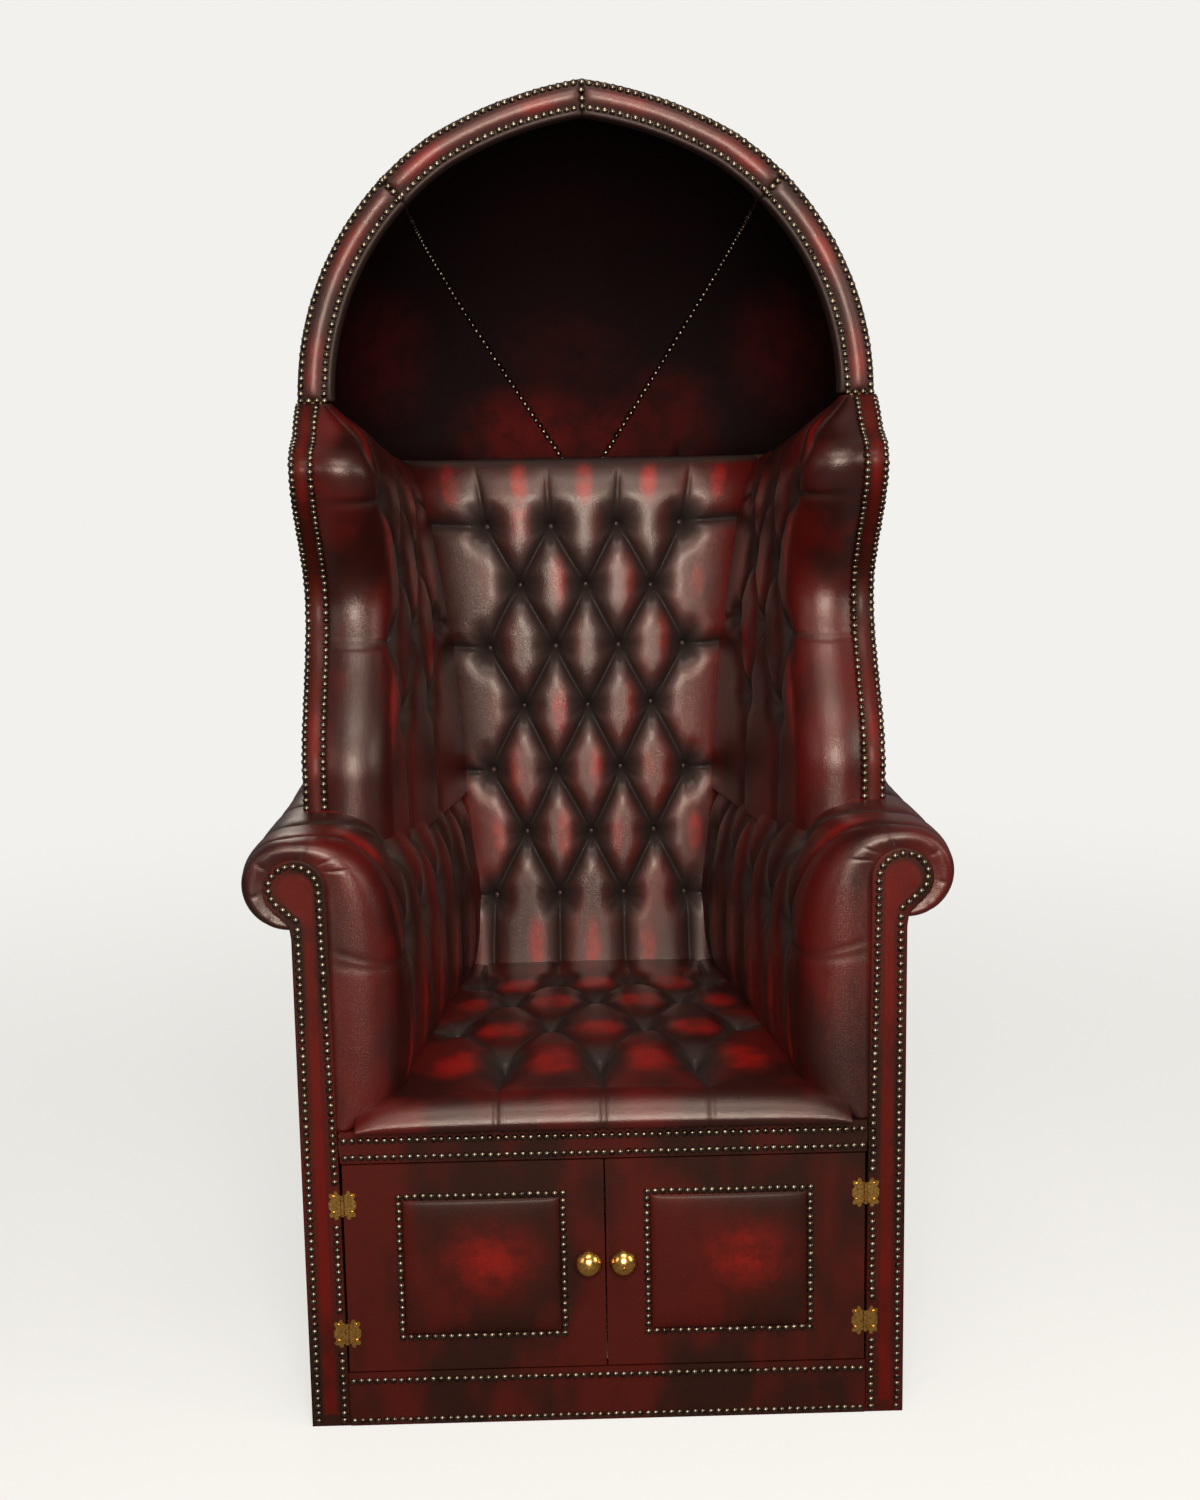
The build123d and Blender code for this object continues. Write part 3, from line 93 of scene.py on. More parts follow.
def arc(start: Point, via: Point, end: Point, shares: np.ndarray) -> np.ndarray:
    """Points on the circle through three points.

    Args:
        start, via, end: the three points, in order.
        shares: shares of the way from start to end.

    Returns:
        One row of two coordinates for each share.
    """
    (ax, ay), (bx, by), (cx, cy) = start, via, end
    twice = 2 * (ax * (by - cy) + bx * (cy - ay) + cx * (ay - by))
    if abs(twice) < 1e-6:
        return np.outer(1 - shares, start) + np.outer(shares, end)
    a2, b2, c2 = ax * ax + ay * ay, bx * bx + by * by, cx * cx + cy * cy
    ox = (a2 * (by - cy) + b2 * (cy - ay) + c2 * (ay - by)) / twice
    oy = (a2 * (cx - bx) + b2 * (ax - cx) + c2 * (bx - ax)) / twice
    radius = math.hypot(ax - ox, ay - oy)
    first, middle, last = (math.atan2(y - oy, x - ox) for x, y in (start, via, end))
    turn = (last - first) % math.tau
    if (middle - first) % math.tau > turn:
        turn -= math.tau
    angles = first + turn * shares
    return np.stack([ox + radius * np.cos(angles), oy + radius * np.sin(angles)], axis=1)


def wing_front_line() -> np.ndarray:
    """Feels the frame's own wing edge from the front, so that the leather lies on it.

    Returns:
        One row of height and depth for each 4 mm of height, in chair millimetres.
    """
    board_middle = 0.361
    facing_stands_proud = 4.3
    trees = []
    for node, proud in (("wing_facing_right", 0.0), ("wing_frame_right", facing_stands_proud)):
        bm = bmesh.new()
        bm.from_mesh(frame["nodes"][node].data)
        bm.transform(frame["nodes"][node].matrix_world)
        trees.append((BVHTree.FromBMesh(bm), proud))
        bm.free()
    found = []
    for height in np.arange(700.0, 1265.0, 4.0):
        hits = []
        for tree, proud in trees:
            hit = tree.ray_cast(Vector((board_middle, FRONT_PLANE - 0.5, height * MM)), Vector((0, 1, 0)))[0]
            if hit is not None:
                hits.append((hit.y - FRONT_PLANE) / MM - proud)
        if hits:
            found.append((height, min(hits)))
    # Above the board's end the leather carries on over its ledge, up to the hood's rim.
    found += [(1272.0, 261.0), (1281.0, 276.0)]
    return np.array(found)


@dataclass(frozen=True)
class ChairForm:
    """The chair's main lines in millimetres, as the frame has them."""

    half_width: float = 376.0
    depth: float = 760.0
    corner: float = 190.0
    deck: float = 392.0
    back_foot: float = 584.0
    back_lean: float = 60.0
    back_top: float = 1186.0
    back_crown: float = 22.0
    back_foot_half: float = 178.0
    back_head_half: float = 228.0
    back_flare_start: float = 640.0
    back_tuck: float = 50.0
    seat_front_half: float = 308.0
    seat_back_half: float = 203.0
    belly_front_half: float = 249.0
    belly_back_half: float = 148.0
    rim_front: float = 288.0
    rim_back: float = 322.0
    spring: float = 1290.0
    rise: float = 390.0
    back_rise: float = 34.0
    seam_front: float = 1280.0
    seam_back: float = 1160.0
    wing_room: float = 262.0
    ear_room: float = 56.0
    ear_foot: float = 1158.0
    ear_rise: float = 122.0
    # Three points of the arch, as shares of half the width and of the rise.
    arch_low: Point = (0.894, 0.417)
    arch_joint: Point = (0.516, 0.829)
    arch_high: Point = (0.277, 0.934)
    wing_line: np.ndarray = field(default_factory=wing_front_line)

    def back_face(self, z: np.ndarray | float) -> np.ndarray | float:
        """How far back the back pad's middle lies at a height."""
        return self.back_foot + self.back_lean * (z - self.deck) / (self.back_top - self.deck)

    def back_half(self, z: np.ndarray | float) -> np.ndarray | float:
        """Half the back's visible width at a height."""
        share = np.maximum(0.0, (z - self.back_flare_start) / (self.back_top - self.back_flare_start))
        return self.back_foot_half + (self.back_head_half - self.back_foot_half) * share**2

    def seat_half(self, y: np.ndarray | float) -> np.ndarray | float:
        """Half the room between the arms, just above the seat's edge."""
        return self.seat_front_half + (self.seat_back_half - self.seat_front_half) * y / self.depth

    def belly_half(self, y: np.ndarray | float) -> np.ndarray | float:
        """Half the room between the arms at their fullest height."""
        return self.belly_front_half + (self.belly_back_half - self.belly_front_half) * y / self.depth

    def wing_front(self, z: float) -> float:
        """Where the wing's front edge lies at a height: a waist, then an ear under the hood."""
        return float(np.interp(z, self.wing_line[:, 0], self.wing_line[:, 1]))

    def wing_half(self, z: float) -> float:
        """Half the room between the wings' front rolls at a height."""
        return self.wing_room + self.ear_room * max(0.0, (z - self.ear_foot) / self.ear_rise) ** 2

    def seam(self, y: float) -> float:
        """Height of the seam between body and hood at a depth."""
        slope = (self.seam_front - self.seam_back) / (self.depth - self.rim_front)
        return self.seam_front - slope * (y - self.rim_front)

    def plan_half(self, y: float, inset: float) -> float:
        """Half the width inside the round-cornered plan, moved inwards by inset."""
        corner = self.corner - inset
        past = max(0.0, y - (self.depth - self.corner))
        return self.half_width - self.corner + math.sqrt(max(0.0, corner**2 - past**2))

    def arch_shares(self, count: int) -> np.ndarray:
        """The arch's right half from its spring to its crown, as shares of half width and rise."""
        size = (self.half_width, self.rise)
        low, joint, high = ((out * size[0], up * size[1])
                            for out, up in (self.arch_low, self.arch_joint, self.arch_high))
        shares = np.linspace(0, 1, count)
        sweep, crown = arc((size[0], 0), low, joint, shares), arc(joint, high, (0, size[1]), shares)
        return np.concatenate([sweep, crown[1:]]) / np.array(size)


FORM = ChairForm()


def shoulder(start: Point, end: Point, fullness: float = 3.0) -> np.ndarray:
    """A full quarter curve that leaves start upright and comes to end level, with evenly spaced points."""
    turns = np.linspace(0, math.pi / 2, 60)
    level = 1 - np.cos(turns).clip(0) ** (2 / fullness)
    upright = np.sin(turns).clip(0) ** (2 / fullness)
    points = np.stack([start[0] + (end[0] - start[0]) * level, start[1] + (end[1] - start[1]) * upright], axis=1)
    return resample(points, 160)


def run(points: np.ndarray) -> np.ndarray:
    """How far along a line each of its own points lies."""
    return np.concatenate([[0.0], np.cumsum(np.linalg.norm(np.diff(points, axis=0), axis=1))])


def at(line: np.ndarray, steps: np.ndarray, places: np.ndarray | float) -> np.ndarray:
    """The points of a line at some places.

    Args:
        line: the line's own points, one row each.
        steps: the places of those points.
        places: the places that are wanted.

    Returns:
        One row for each place.
    """
    return np.stack([np.interp(places, steps, line[:, axis]) for axis in range(line.shape[1])], axis=-1)


def resample(points: np.ndarray, count: int) -> np.ndarray:
    """Spreads a given number of points evenly along a line."""
    steps = run(points)
    return at(points, steps, np.linspace(0, steps[-1], count))


def even(points: np.ndarray, pitch: float) -> np.ndarray:
    """Spreads points evenly along a line.

    Args:
        points: the line's own points, one row each.
        pitch: the distance wanted between neighbours.

    Returns:
        Points about one pitch apart, with both ends kept.
    """
    return resample(points, max(1, round(run(points)[-1] / pitch)) + 1)


# Materials


def linear(code: str) -> tuple[float, float, float, float]:
    """Turns an sRGB hex colour into the linear values that a shader takes."""
    parts = [int(code[place:place + 2], 16) / 255 for place in (1, 3, 5)]
    return (*(part / 12.92 if part <= 0.04045 else ((part + 0.055) / 1.055) ** 2.4 for part in parts), 1.0)


def set_inputs(tree: Tree, node: bpy.types.Node, inputs: dict[Any, Any]) -> None:
    """Links every input that is given a socket, and sets every other one, by its name or number."""
    for name, value in inputs.items():
        if isinstance(value, Socket):
            tree.links.new(value, node.inputs[name])
        else:
            node.inputs[name].default_value = value


def add_node(tree: Tree, kind: str, settings: dict[str, Any] | None = None,
             inputs: dict[Any, Any] | None = None) -> bpy.types.Node:
    """Adds a node to a tree.

    Args:
        tree: the tree that gets the node.
        kind: the node's type.
        settings: the node's own settings, by name.
        inputs: values or linked sockets, by input name or number.

    Returns:
        The new node.
    """
    node = tree.nodes.new(kind)
    for name, value in (settings or {}).items():
        setattr(node, name, value)
    set_inputs(tree, node, inputs or {})
    return node


def ramp(tree: Tree, value: Socket, stops: Sequence[tuple[float, Any]], interpolation: str = "LINEAR") -> Socket:
    """Maps a value through a colour ramp of hex colours or greys, and returns its colour."""
    node = add_node(tree, "ShaderNodeValToRGB", inputs={0: value})
    node.color_ramp.interpolation = interpolation
    elements = node.color_ramp.elements
    while len(elements) < len(stops):
        elements.new(0.5)
    for element, (place, colour) in zip(elements, stops):
        element.position = place
        element.color = linear(colour) if isinstance(colour, str) else (colour, colour, colour, 1.0)
    return node.outputs["Color"]


def maths(tree: Tree, operation: str, first: Any, second: Any) -> Socket:
    """One step of arithmetic between two values or sockets."""
    return add_node(tree, "ShaderNodeMath", {"operation": operation}, {0: first, 1: second}).outputs[0]


def mix(tree: Tree, factor: Any, first: Any, second: Any) -> Socket:
    """Blends two colours by a factor."""
    return add_node(tree, "ShaderNodeMix", {"data_type": "RGBA"}, {0: factor, 6: first, 7: second}).outputs[2]


def fresh_material(name: str) -> tuple[bpy.types.Material, Tree, bpy.types.Node, Socket]:
    """Makes a material with a shader wired to its output, and returns its Object coordinates too."""
    material = bpy.data.materials.new(name)
    material.use_nodes = True
    tree = material.node_tree
    tree.nodes.clear()
    shader = add_node(tree, "ShaderNodeBsdfPrincipled")
    add_node(tree, "ShaderNodeOutputMaterial", inputs={"Surface": shader.outputs[0]})
    return material, tree, shader, add_node(tree, "ShaderNodeTexCoord").outputs["Object"]


@dataclass(frozen=True)
class OxbloodLeather:
    """Hand-rubbed antique cowhide: black-brown dye left in the folds, darkened further there by painted shade, red
    where it was rubbed off the crowns.
    """

    name: str = "oxblood_rubbed_cowhide"
    # The crease colour is partly dye and partly painted shade in the folds and wells.
    crease: str = "#040202"
    body: str = "#180605"
    worn: str = "#250A09"
    red: str = "#8A100B"
    red_amount: float = 0.4
    patch_mm: float = 120.0
    dab_mm: float = 34.0
    pull_mm: float = 7.0
    pore_mm: float = 4.5
    pebble_mm: float = 1.9
    roughness: float = 0.32
    coat: float = 0.08
    coat_roughness: float = 0.2
    fold_dullness: float = 0.5
    bump: float = 0.22
    bare_wear_and_shade: float = 0.0
    specular: float = 0.45
    gloss: str = "#FFEAE2"

    def build(self) -> bpy.types.Material:
        """Builds the leather. It reads each piece's wear and painted shade, and its glow, or rubs by noise alone where
        a piece has none.
        """
        material, tree, shader, place = fresh_material(self.name)
        marked, glow = (add_node(tree, "ShaderNodeAttribute", {"attribute_name": name}).outputs["Fac"]
                        for name in ("rub", "glow"))
        rub = maths(tree, "MAXIMUM", marked, self.bare_wear_and_shade)
        stretched = add_node(tree, "ShaderNodeMapping", inputs={"Vector": place, "Scale": (1.0, 1.0, 0.45)})
        cloud = add_node(tree, "ShaderNodeTexNoise", inputs={
            "Vector": stretched.outputs[0], "Scale": 1 / (self.patch_mm * MM), "Detail": 3.0, "Roughness": 0.55})
        dabs = add_node(tree, "ShaderNodeTexNoise", inputs={
            "Vector": place, "Scale": 1 / (self.dab_mm * MM), "Detail": 4.0, "Roughness": 0.6}).outputs["Fac"]
        patchy = ramp(tree, cloud.outputs["Fac"], ((0.40, 0.0), (0.62, 1.0)), "EASE")
        # Dye is thickest in the folds, and wears first on the crowns; the folds' near-black is partly painted shade.
        dyed_and_shaded = ramp(tree, rub, ((0.0, self.crease), (0.45, self.body), (1.0, self.worn)), "EASE")
        toned = mix(tree, maths(tree, "MULTIPLY", dabs, 0.55), dyed_and_shaded, linear(self.body))
        rubbed = maths(tree, "MULTIPLY", maths(tree, "POWER", rub, 2.0), patchy)
        stray = maths(tree, "MULTIPLY", rubbed, 0.38 * self.red_amount)
        meant = maths(tree, "MULTIPLY", glow, ramp(tree, dabs, ((0.34, 0.45), (0.60, 1.0)), "EASE"))
        redness = add_node(tree, "ShaderNodeMath", {"operation": "MAXIMUM", "use_clamp": True}, {0: stray, 1: meant})
        # Pebbles and pores cover the skin, and wrinkles pull across it where it is drawn in.
        pebble = add_node(tree, "ShaderNodeTexVoronoi", {"feature": "DISTANCE_TO_EDGE"},
                          {"Vector": place, "Scale": 1 / (self.pebble_mm * MM)})
        pores = add_node(tree, "ShaderNodeTexNoise", inputs={
            "Vector": place, "Scale": 1 / (self.pore_mm * MM), "Detail": 5.0, "Roughness": 0.65}).outputs["Fac"]
        drag = add_node(tree, "ShaderNodeMapping", inputs={"Vector": place, "Scale": (0.35, 0.35, 1.6)})
        pulled = add_node(tree, "ShaderNodeTexNoise", inputs={
            "Vector": drag.outputs[0], "Scale": 1 / (self.pull_mm * MM), "Detail": 3.0, "Roughness": 0.5,
            "Distortion": 0.6})
        grain = maths(tree, "MINIMUM", maths(tree, "MULTIPLY", pebble.outputs["Distance"], 2.4), 0.6)
        skin = maths(tree, "ADD", grain, maths(tree, "MULTIPLY", pores, 0.9))
        strain = maths(tree, "MULTIPLY", maths(tree, "SUBTRACT", 1.15, rub), pulled.outputs["Fac"])
        bump = add_node(tree, "ShaderNodeBump", inputs={
            "Strength": self.bump, "Distance": 1.0 * MM,
            "Height": maths(tree, "ADD", skin, maths(tree, "MULTIPLY", strain, 1.4))})
        # Polish reaches the crowns and leaves the folds dull.
        waxed = maths(tree, "ADD", maths(tree, "MULTIPLY", pores, 0.22), self.roughness - 0.11)
        unpolished = maths(tree, "MULTIPLY", maths(tree, "SUBTRACT", 1.0, rub), self.fold_dullness)
        set_inputs(tree, shader, {
            "Base Color": mix(tree, redness.outputs[0], toned, linear(self.red)), "Normal": bump.outputs[0],
            "Roughness": maths(tree, "ADD", waxed, unpolished), "IOR": 1.5, "Specular IOR Level": self.specular,
            "Specular Tint": linear(self.gloss), "Coat Weight": self.coat, "Coat Roughness": self.coat_roughness})
        return material


@dataclass(frozen=True)
class SpunMetal:
    """Turned or pressed metal: a plain colour under fine turning marks, darker where polish can't reach."""

    name: str
    bright: str
    dark: str
    roughness: float
    spots_mm: float = 3.0
    bump: float = 0.05

    def build(self) -> bpy.types.Material:
        """Builds the metal, with tarnish in soft spots."""
        material, tree, shader, place = fresh_material(self.name)
        tarnish = add_node(tree, "ShaderNodeTexNoise", inputs={
            "Vector": place, "Scale": 1 / (self.spots_mm * MM), "Detail": 3.0}).outputs["Fac"]
        bump = add_node(tree, "ShaderNodeBump", inputs={
            "Strength": self.bump, "Distance": 0.3 * MM, "Height": tarnish})
        set_inputs(tree, shader, {
            "Base Color": ramp(tree, tarnish, ((0.3, self.dark), (0.6, self.bright))), "Metallic": 1.0,
            "Roughness": maths(tree, "ADD", maths(tree, "MULTIPLY", tarnish, 0.18), self.roughness - 0.09),
            "Normal": bump.outputs[0]})
        return material


@dataclass(frozen=True)
class SawnWood:
    """Planed timber or ply with an open grain that runs up the piece."""

    name: str
    pale: str
    dark: str
    grain_mm: float
    roughness: float = 0.6

    def build(self) -> bpy.types.Material:
        """Builds the wood from stretched bands of grain."""
        material, tree, shader, place = fresh_material(self.name)
        along = add_node(tree, "ShaderNodeMapping", inputs={"Vector": place, "Scale": (1.0, 1.0, 0.07)})
        rings = add_node(tree, "ShaderNodeTexNoise", inputs={
            "Vector": along.outputs[0], "Scale": 1 / (self.grain_mm * MM), "Detail": 5.0, "Distortion": 0.8})
        bump = add_node(tree, "ShaderNodeBump", inputs={
            "Strength": 0.15, "Distance": 0.3 * MM, "Height": rings.outputs["Fac"]})
        set_inputs(tree, shader, {
            "Base Color": ramp(tree, rings.outputs["Fac"], ((0.35, self.dark), (0.65, self.pale))),
            "Roughness": self.roughness, "Normal": bump.outputs[0]})
        return material


@dataclass(frozen=True)
class WovenJute:
    """Plain-woven jute webbing: coarse yarns crossing at right angles."""

    name: str = "woven_jute_webbing"
    yarn: str = "#A58A5C"
    gap: str = "#5A4427"
    yarn_mm: float = 2.0

    def build(self) -> bpy.types.Material:
        """Builds the weave from two crossed waves."""
        material, tree, shader, place = fresh_material(self.name)
        waves = [add_node(tree, "ShaderNodeTexWave", {"bands_direction": axis}, {
            "Vector": place, "Scale": 0.314 / (self.yarn_mm * MM), "Distortion": 0.6}) for axis in ("X", "Z")]
        height = maths(tree, "MAXIMUM", waves[0].outputs["Fac"], waves[1].outputs["Fac"])
        bump = add_node(tree, "ShaderNodeBump", inputs={"Strength": 0.5, "Distance": 0.5 * MM, "Height": height})
        set_inputs(tree, shader, {"Base Color": ramp(tree, height, ((0.2, self.gap), (0.8, self.yarn))),
                                  "Roughness": 0.9, "Normal": bump.outputs[0]})
        return material


@dataclass(frozen=True)
class MouldedPlastic:
    """Moulded brown plastic of the door catches: even, with a fine spark texture."""

    name: str = "moulded_brown_plastic"
    colour: str = "#4A2E1A"
    speck: str = "#3E2615"
    spark_mm: float = 0.8

    def build(self) -> bpy.types.Material:
        """Builds the plastic with a faint texture from the mould."""
        material, tree, shader, place = fresh_material(self.name)
        spark = add_node(tree, "ShaderNodeTexNoise", inputs={"Vector": place, "Scale": 1 / (self.spark_mm * MM)})
        set_inputs(tree, shader, {
            "Base Color": ramp(tree, spark.outputs["Fac"], ((0.3, self.speck), (0.7, self.colour))),
            "Roughness": 0.45})
        return material


@dataclass
class Finishes:
    """Every finish of the chair, built once and shared."""

    made: dict[str, bpy.types.Material] = field(default_factory=dict)

    def build(self) -> None:
        """Builds the finishes under the record's slot names, and the few that only new pieces use."""
        self.made = {
            LEATHER: OxbloodLeather().build(),
            # The lining is a near-black copy of the leather: painted shade inside the hood.
            "hood_lining_leather": OxbloodLeather(name="oxblood_lining_cowhide", crease="#020102", body="#060203",
                                                  worn="#0A0304", red="#4E0A09", roughness=0.6, coat=0.0,
                                                  patch_mm=210.0, red_amount=0.1, specular=0.08).build(),
            BOARD_LEATHER: OxbloodLeather(name="oxblood_cowhide_on_board", crease="#0D0403", body="#190804",
                                          worn="#260906", red="#70100B", red_amount=1.0, roughness=0.38,
                                          coat=0.05, patch_mm=105.0, bare_wear_and_shade=0.7, specular=0.14).build(),
            "beech_frame": SawnWood("planed_beech", "#C79A68", "#A87849", 6.0).build(),
            "birch_plywood": SawnWood("sanded_birch_ply", "#D8BC8E", "#C2A274", 9.0).build(),
            "jute_webbing": WovenJute().build(),
            "polished_brass": SpunMetal("polished_cast_brass", "#DDAE62", "#A9752F", 0.22).build(),
            "zinc_steel": SpunMetal("zinc_plated_steel", "#B9BABC", "#8E9092", 0.35).build(),
            "catch_plastic": MouldedPlastic().build(),
            "nail": SpunMetal("aged_nickel_nail", "#665D52", "#2C2620", 0.27, spots_mm=9.0).build(),
        }

    def dress(self, node: str, finish: str) -> None:
        """Gives a CAD node one finish in every material slot."""
        for place in frame["nodes"][node].material_slots:
            place.material = self.made[finish]


FINISHES = Finishes()


# Mesh tools


def add_piece(bm: bmesh.types.BMesh, name: str, stands_for: Sequence[str] = (), body: str = "chair",
              finish: str = LEATHER) -> None:
    """Turns a finished bmesh into a piece of the chair.

    Args:
        bm: the mesh, in row frame metres; it is freed.
        name: the piece's name.
        stands_for: CAD nodes that the piece replaces.
        body: the CAD body that it rides on.
        finish: the finish's name in FINISHES.
    """
    mesh = bpy.data.meshes.new(name)
    bm.to_mesh(mesh)
    bm.free()
    mesh.polygons.foreach_set("use_smooth", np.ones(len(mesh.polygons), bool))
    piece = bpy.data.objects.new(name, mesh)
    bpy.context.scene.collection.objects.link(piece)
    mesh.materials.append(FINISHES.made[finish])
    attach(piece, body)
    if stands_for:
        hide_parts(*stands_for)
    log.info("%s: %d faces on %s", name, len(mesh.polygons), body)


def close_on(bm: bmesh.types.BMesh, move: Callable[[Vector], Vector]) -> None:
    """Closes an open sheet into a body: its rim is drawn to where move puts it, and filled there."""
    rim = [edge for edge in bm.edges if edge.is_boundary]
    made = bmesh.ops.extrude_edge_only(bm, edges=rim)["geom"]
    verts = [part for part in made if isinstance(part, bmesh.types.BMVert)]
    for vert in verts:
        vert.co = move(vert.co)
    bmesh.ops.remove_doubles(bm, verts=verts, dist=0.02 * MM)
    bmesh.ops.contextual_create(bm, geom=[edge for edge in bm.edges if edge.is_boundary])
    bmesh.ops.recalc_face_normals(bm, faces=bm.faces)


def cut_away(bm: bmesh.types.BMesh, point: Vector, normal: Vector, **cleared: bool) -> list[Vector]:
    """Cuts a mesh at a plane.

    Args:
        bm: the mesh.
        point, normal: the plane, in row frame metres.
        cleared: which sides are cleared, as the operator names them.

    Returns:
        The places of the cut's own points.
    """
    cut = bmesh.ops.bisect_plane(bm, geom=bm.verts[:] + bm.edges[:] + bm.faces[:], plane_co=point, plane_no=normal,
                                 **cleared)
    return [part.co.copy() for part in cut["geom_cut"] if isinstance(part, bmesh.types.BMVert)]


def cup(across: float, along: float, x: np.ndarray, y: np.ndarray, wide: float, tall: float) -> np.ndarray:
    """A soft oval patch, 1 at its middle and 0 past its edge."""
    return smooth(1.25 - np.hypot((x - across) / wide, (y - along) / tall))


@dataclass
class Sheet:
    """A leather sheet on a grid: where each point lies, which way it faces, and its flat place."""

    points: np.ndarray
    facing: np.ndarray
    flat: np.ndarray
    rub: np.ndarray
    glow: np.ndarray

    @classmethod
    def lay(cls, across: np.ndarray, along: np.ndarray, place: Place, outward: Vector) -> "Sheet":
        """Lays a sheet over a surface.

        Args:
            across: flat places of the columns, in millimetres.
            along: flat places of the rows, in millimetres.
            place: gives the chair points of a whole row from across and one place along.
            outward: a direction that the sheet's middle roughly faces.

        Returns:
            The sheet.
        """
        points = np.stack([place(across, row) for row in along])
        facing = np.cross(np.gradient(points, axis=1), np.gradient(points, axis=0))
        facing /= np.maximum(np.linalg.norm(facing, axis=2, keepdims=True), 1e-9)
        middle = facing[len(along) // 2, len(across) // 2]
        if middle @ np.array(outward) < 0:
            facing = -facing
        flat = np.stack(np.meshgrid(across, along), axis=2)
        blank = np.zeros(points.shape[:2])
        return cls(points, facing, flat, np.ones_like(blank), blank)

    def spot(self, across: float, along: float) -> tuple[np.ndarray, np.ndarray]:
        """The sheet's point and facing nearest to a flat place."""
        gap = np.abs(self.flat - np.array([across, along])).sum(axis=2)
        row, column = np.unravel_index(np.argmin(gap), gap.shape)
        return self.points[row, column], self.facing[row, column]

    def mesh(self) -> bmesh.types.BMesh:
        """Makes the sheet's bmesh, open at its rim, in row frame metres."""
        rows, columns = self.points.shape[:2]
        bm = bmesh.new()
        bmesh.ops.create_grid(bm, x_segments=columns - 1, y_segments=rows - 1, size=1.0)
        rub = bm.verts.layers.float.new("rub")
        glow = bm.verts.layers.float.new("glow")
        places = metres(self.points)
        for vert in bm.verts:
            column = round((vert.co.x + 1) / 2 * (columns - 1))
            row = round((vert.co.y + 1) / 2 * (rows - 1))
            vert[rub] = float(self.rub[row, column])
            vert[glow] = float(self.glow[row, column])
            vert.co = Vector(places[row, column])
        return bm

    def redden(self, marks: Sequence[Sequence[float]]) -> None:
        """Rubs soft oval patches red.

        Args:
            marks: each patch's flat place, two half sizes and strength.
        """
        for across, along, wide, tall, strength in marks:
            patch = strength * cup(across, along, self.flat[..., 0], self.flat[..., 1], wide, tall)
            self.glow = np.maximum(self.glow, patch)

    def pad(self, name: str, stands_for: str, move: Callable[[Vector], Vector], body: str = "chair",
            finish: str = LEATHER, fill: float = 0.9) -> None:
        """Closes the sheet into a padded piece.

        Args:
            name: the piece's name.
            stands_for: the CAD node that it replaces.
            move: where each point of the rim is drawn to.
            body, finish: as for add_piece; fill is not used.
        """
        bm = self.mesh()
        close_on(bm, move)
        add_piece(bm, name, (stands_for,), body, finish=finish)


@dataclass
class Fold:
    """A pleat from one flat place to another; its depth may change along it."""

    start: Point
    end: Point
    depth: float = 7.0
    end_depth: float | None = None
    width: float = 11.0
    crease: float = 2.6


def diamonds(rows: list[list[Point]], reach: float, depth: float, width: float, crease: float) -> list[Fold]:
    """The pleats that cross between rows of buttons.

    Args:
        rows: the buttons, row by row.
        reach: how far aside the next row's button may be.
        depth, width, crease: each pleat's size.

    Returns:
        The pleats, row by row.
    """
    return [Fold(start, end, depth, width=width, crease=crease) for row, following in zip(rows, rows[1:])
            for start in row for end in following if abs(end[0] - start[0]) < reach]


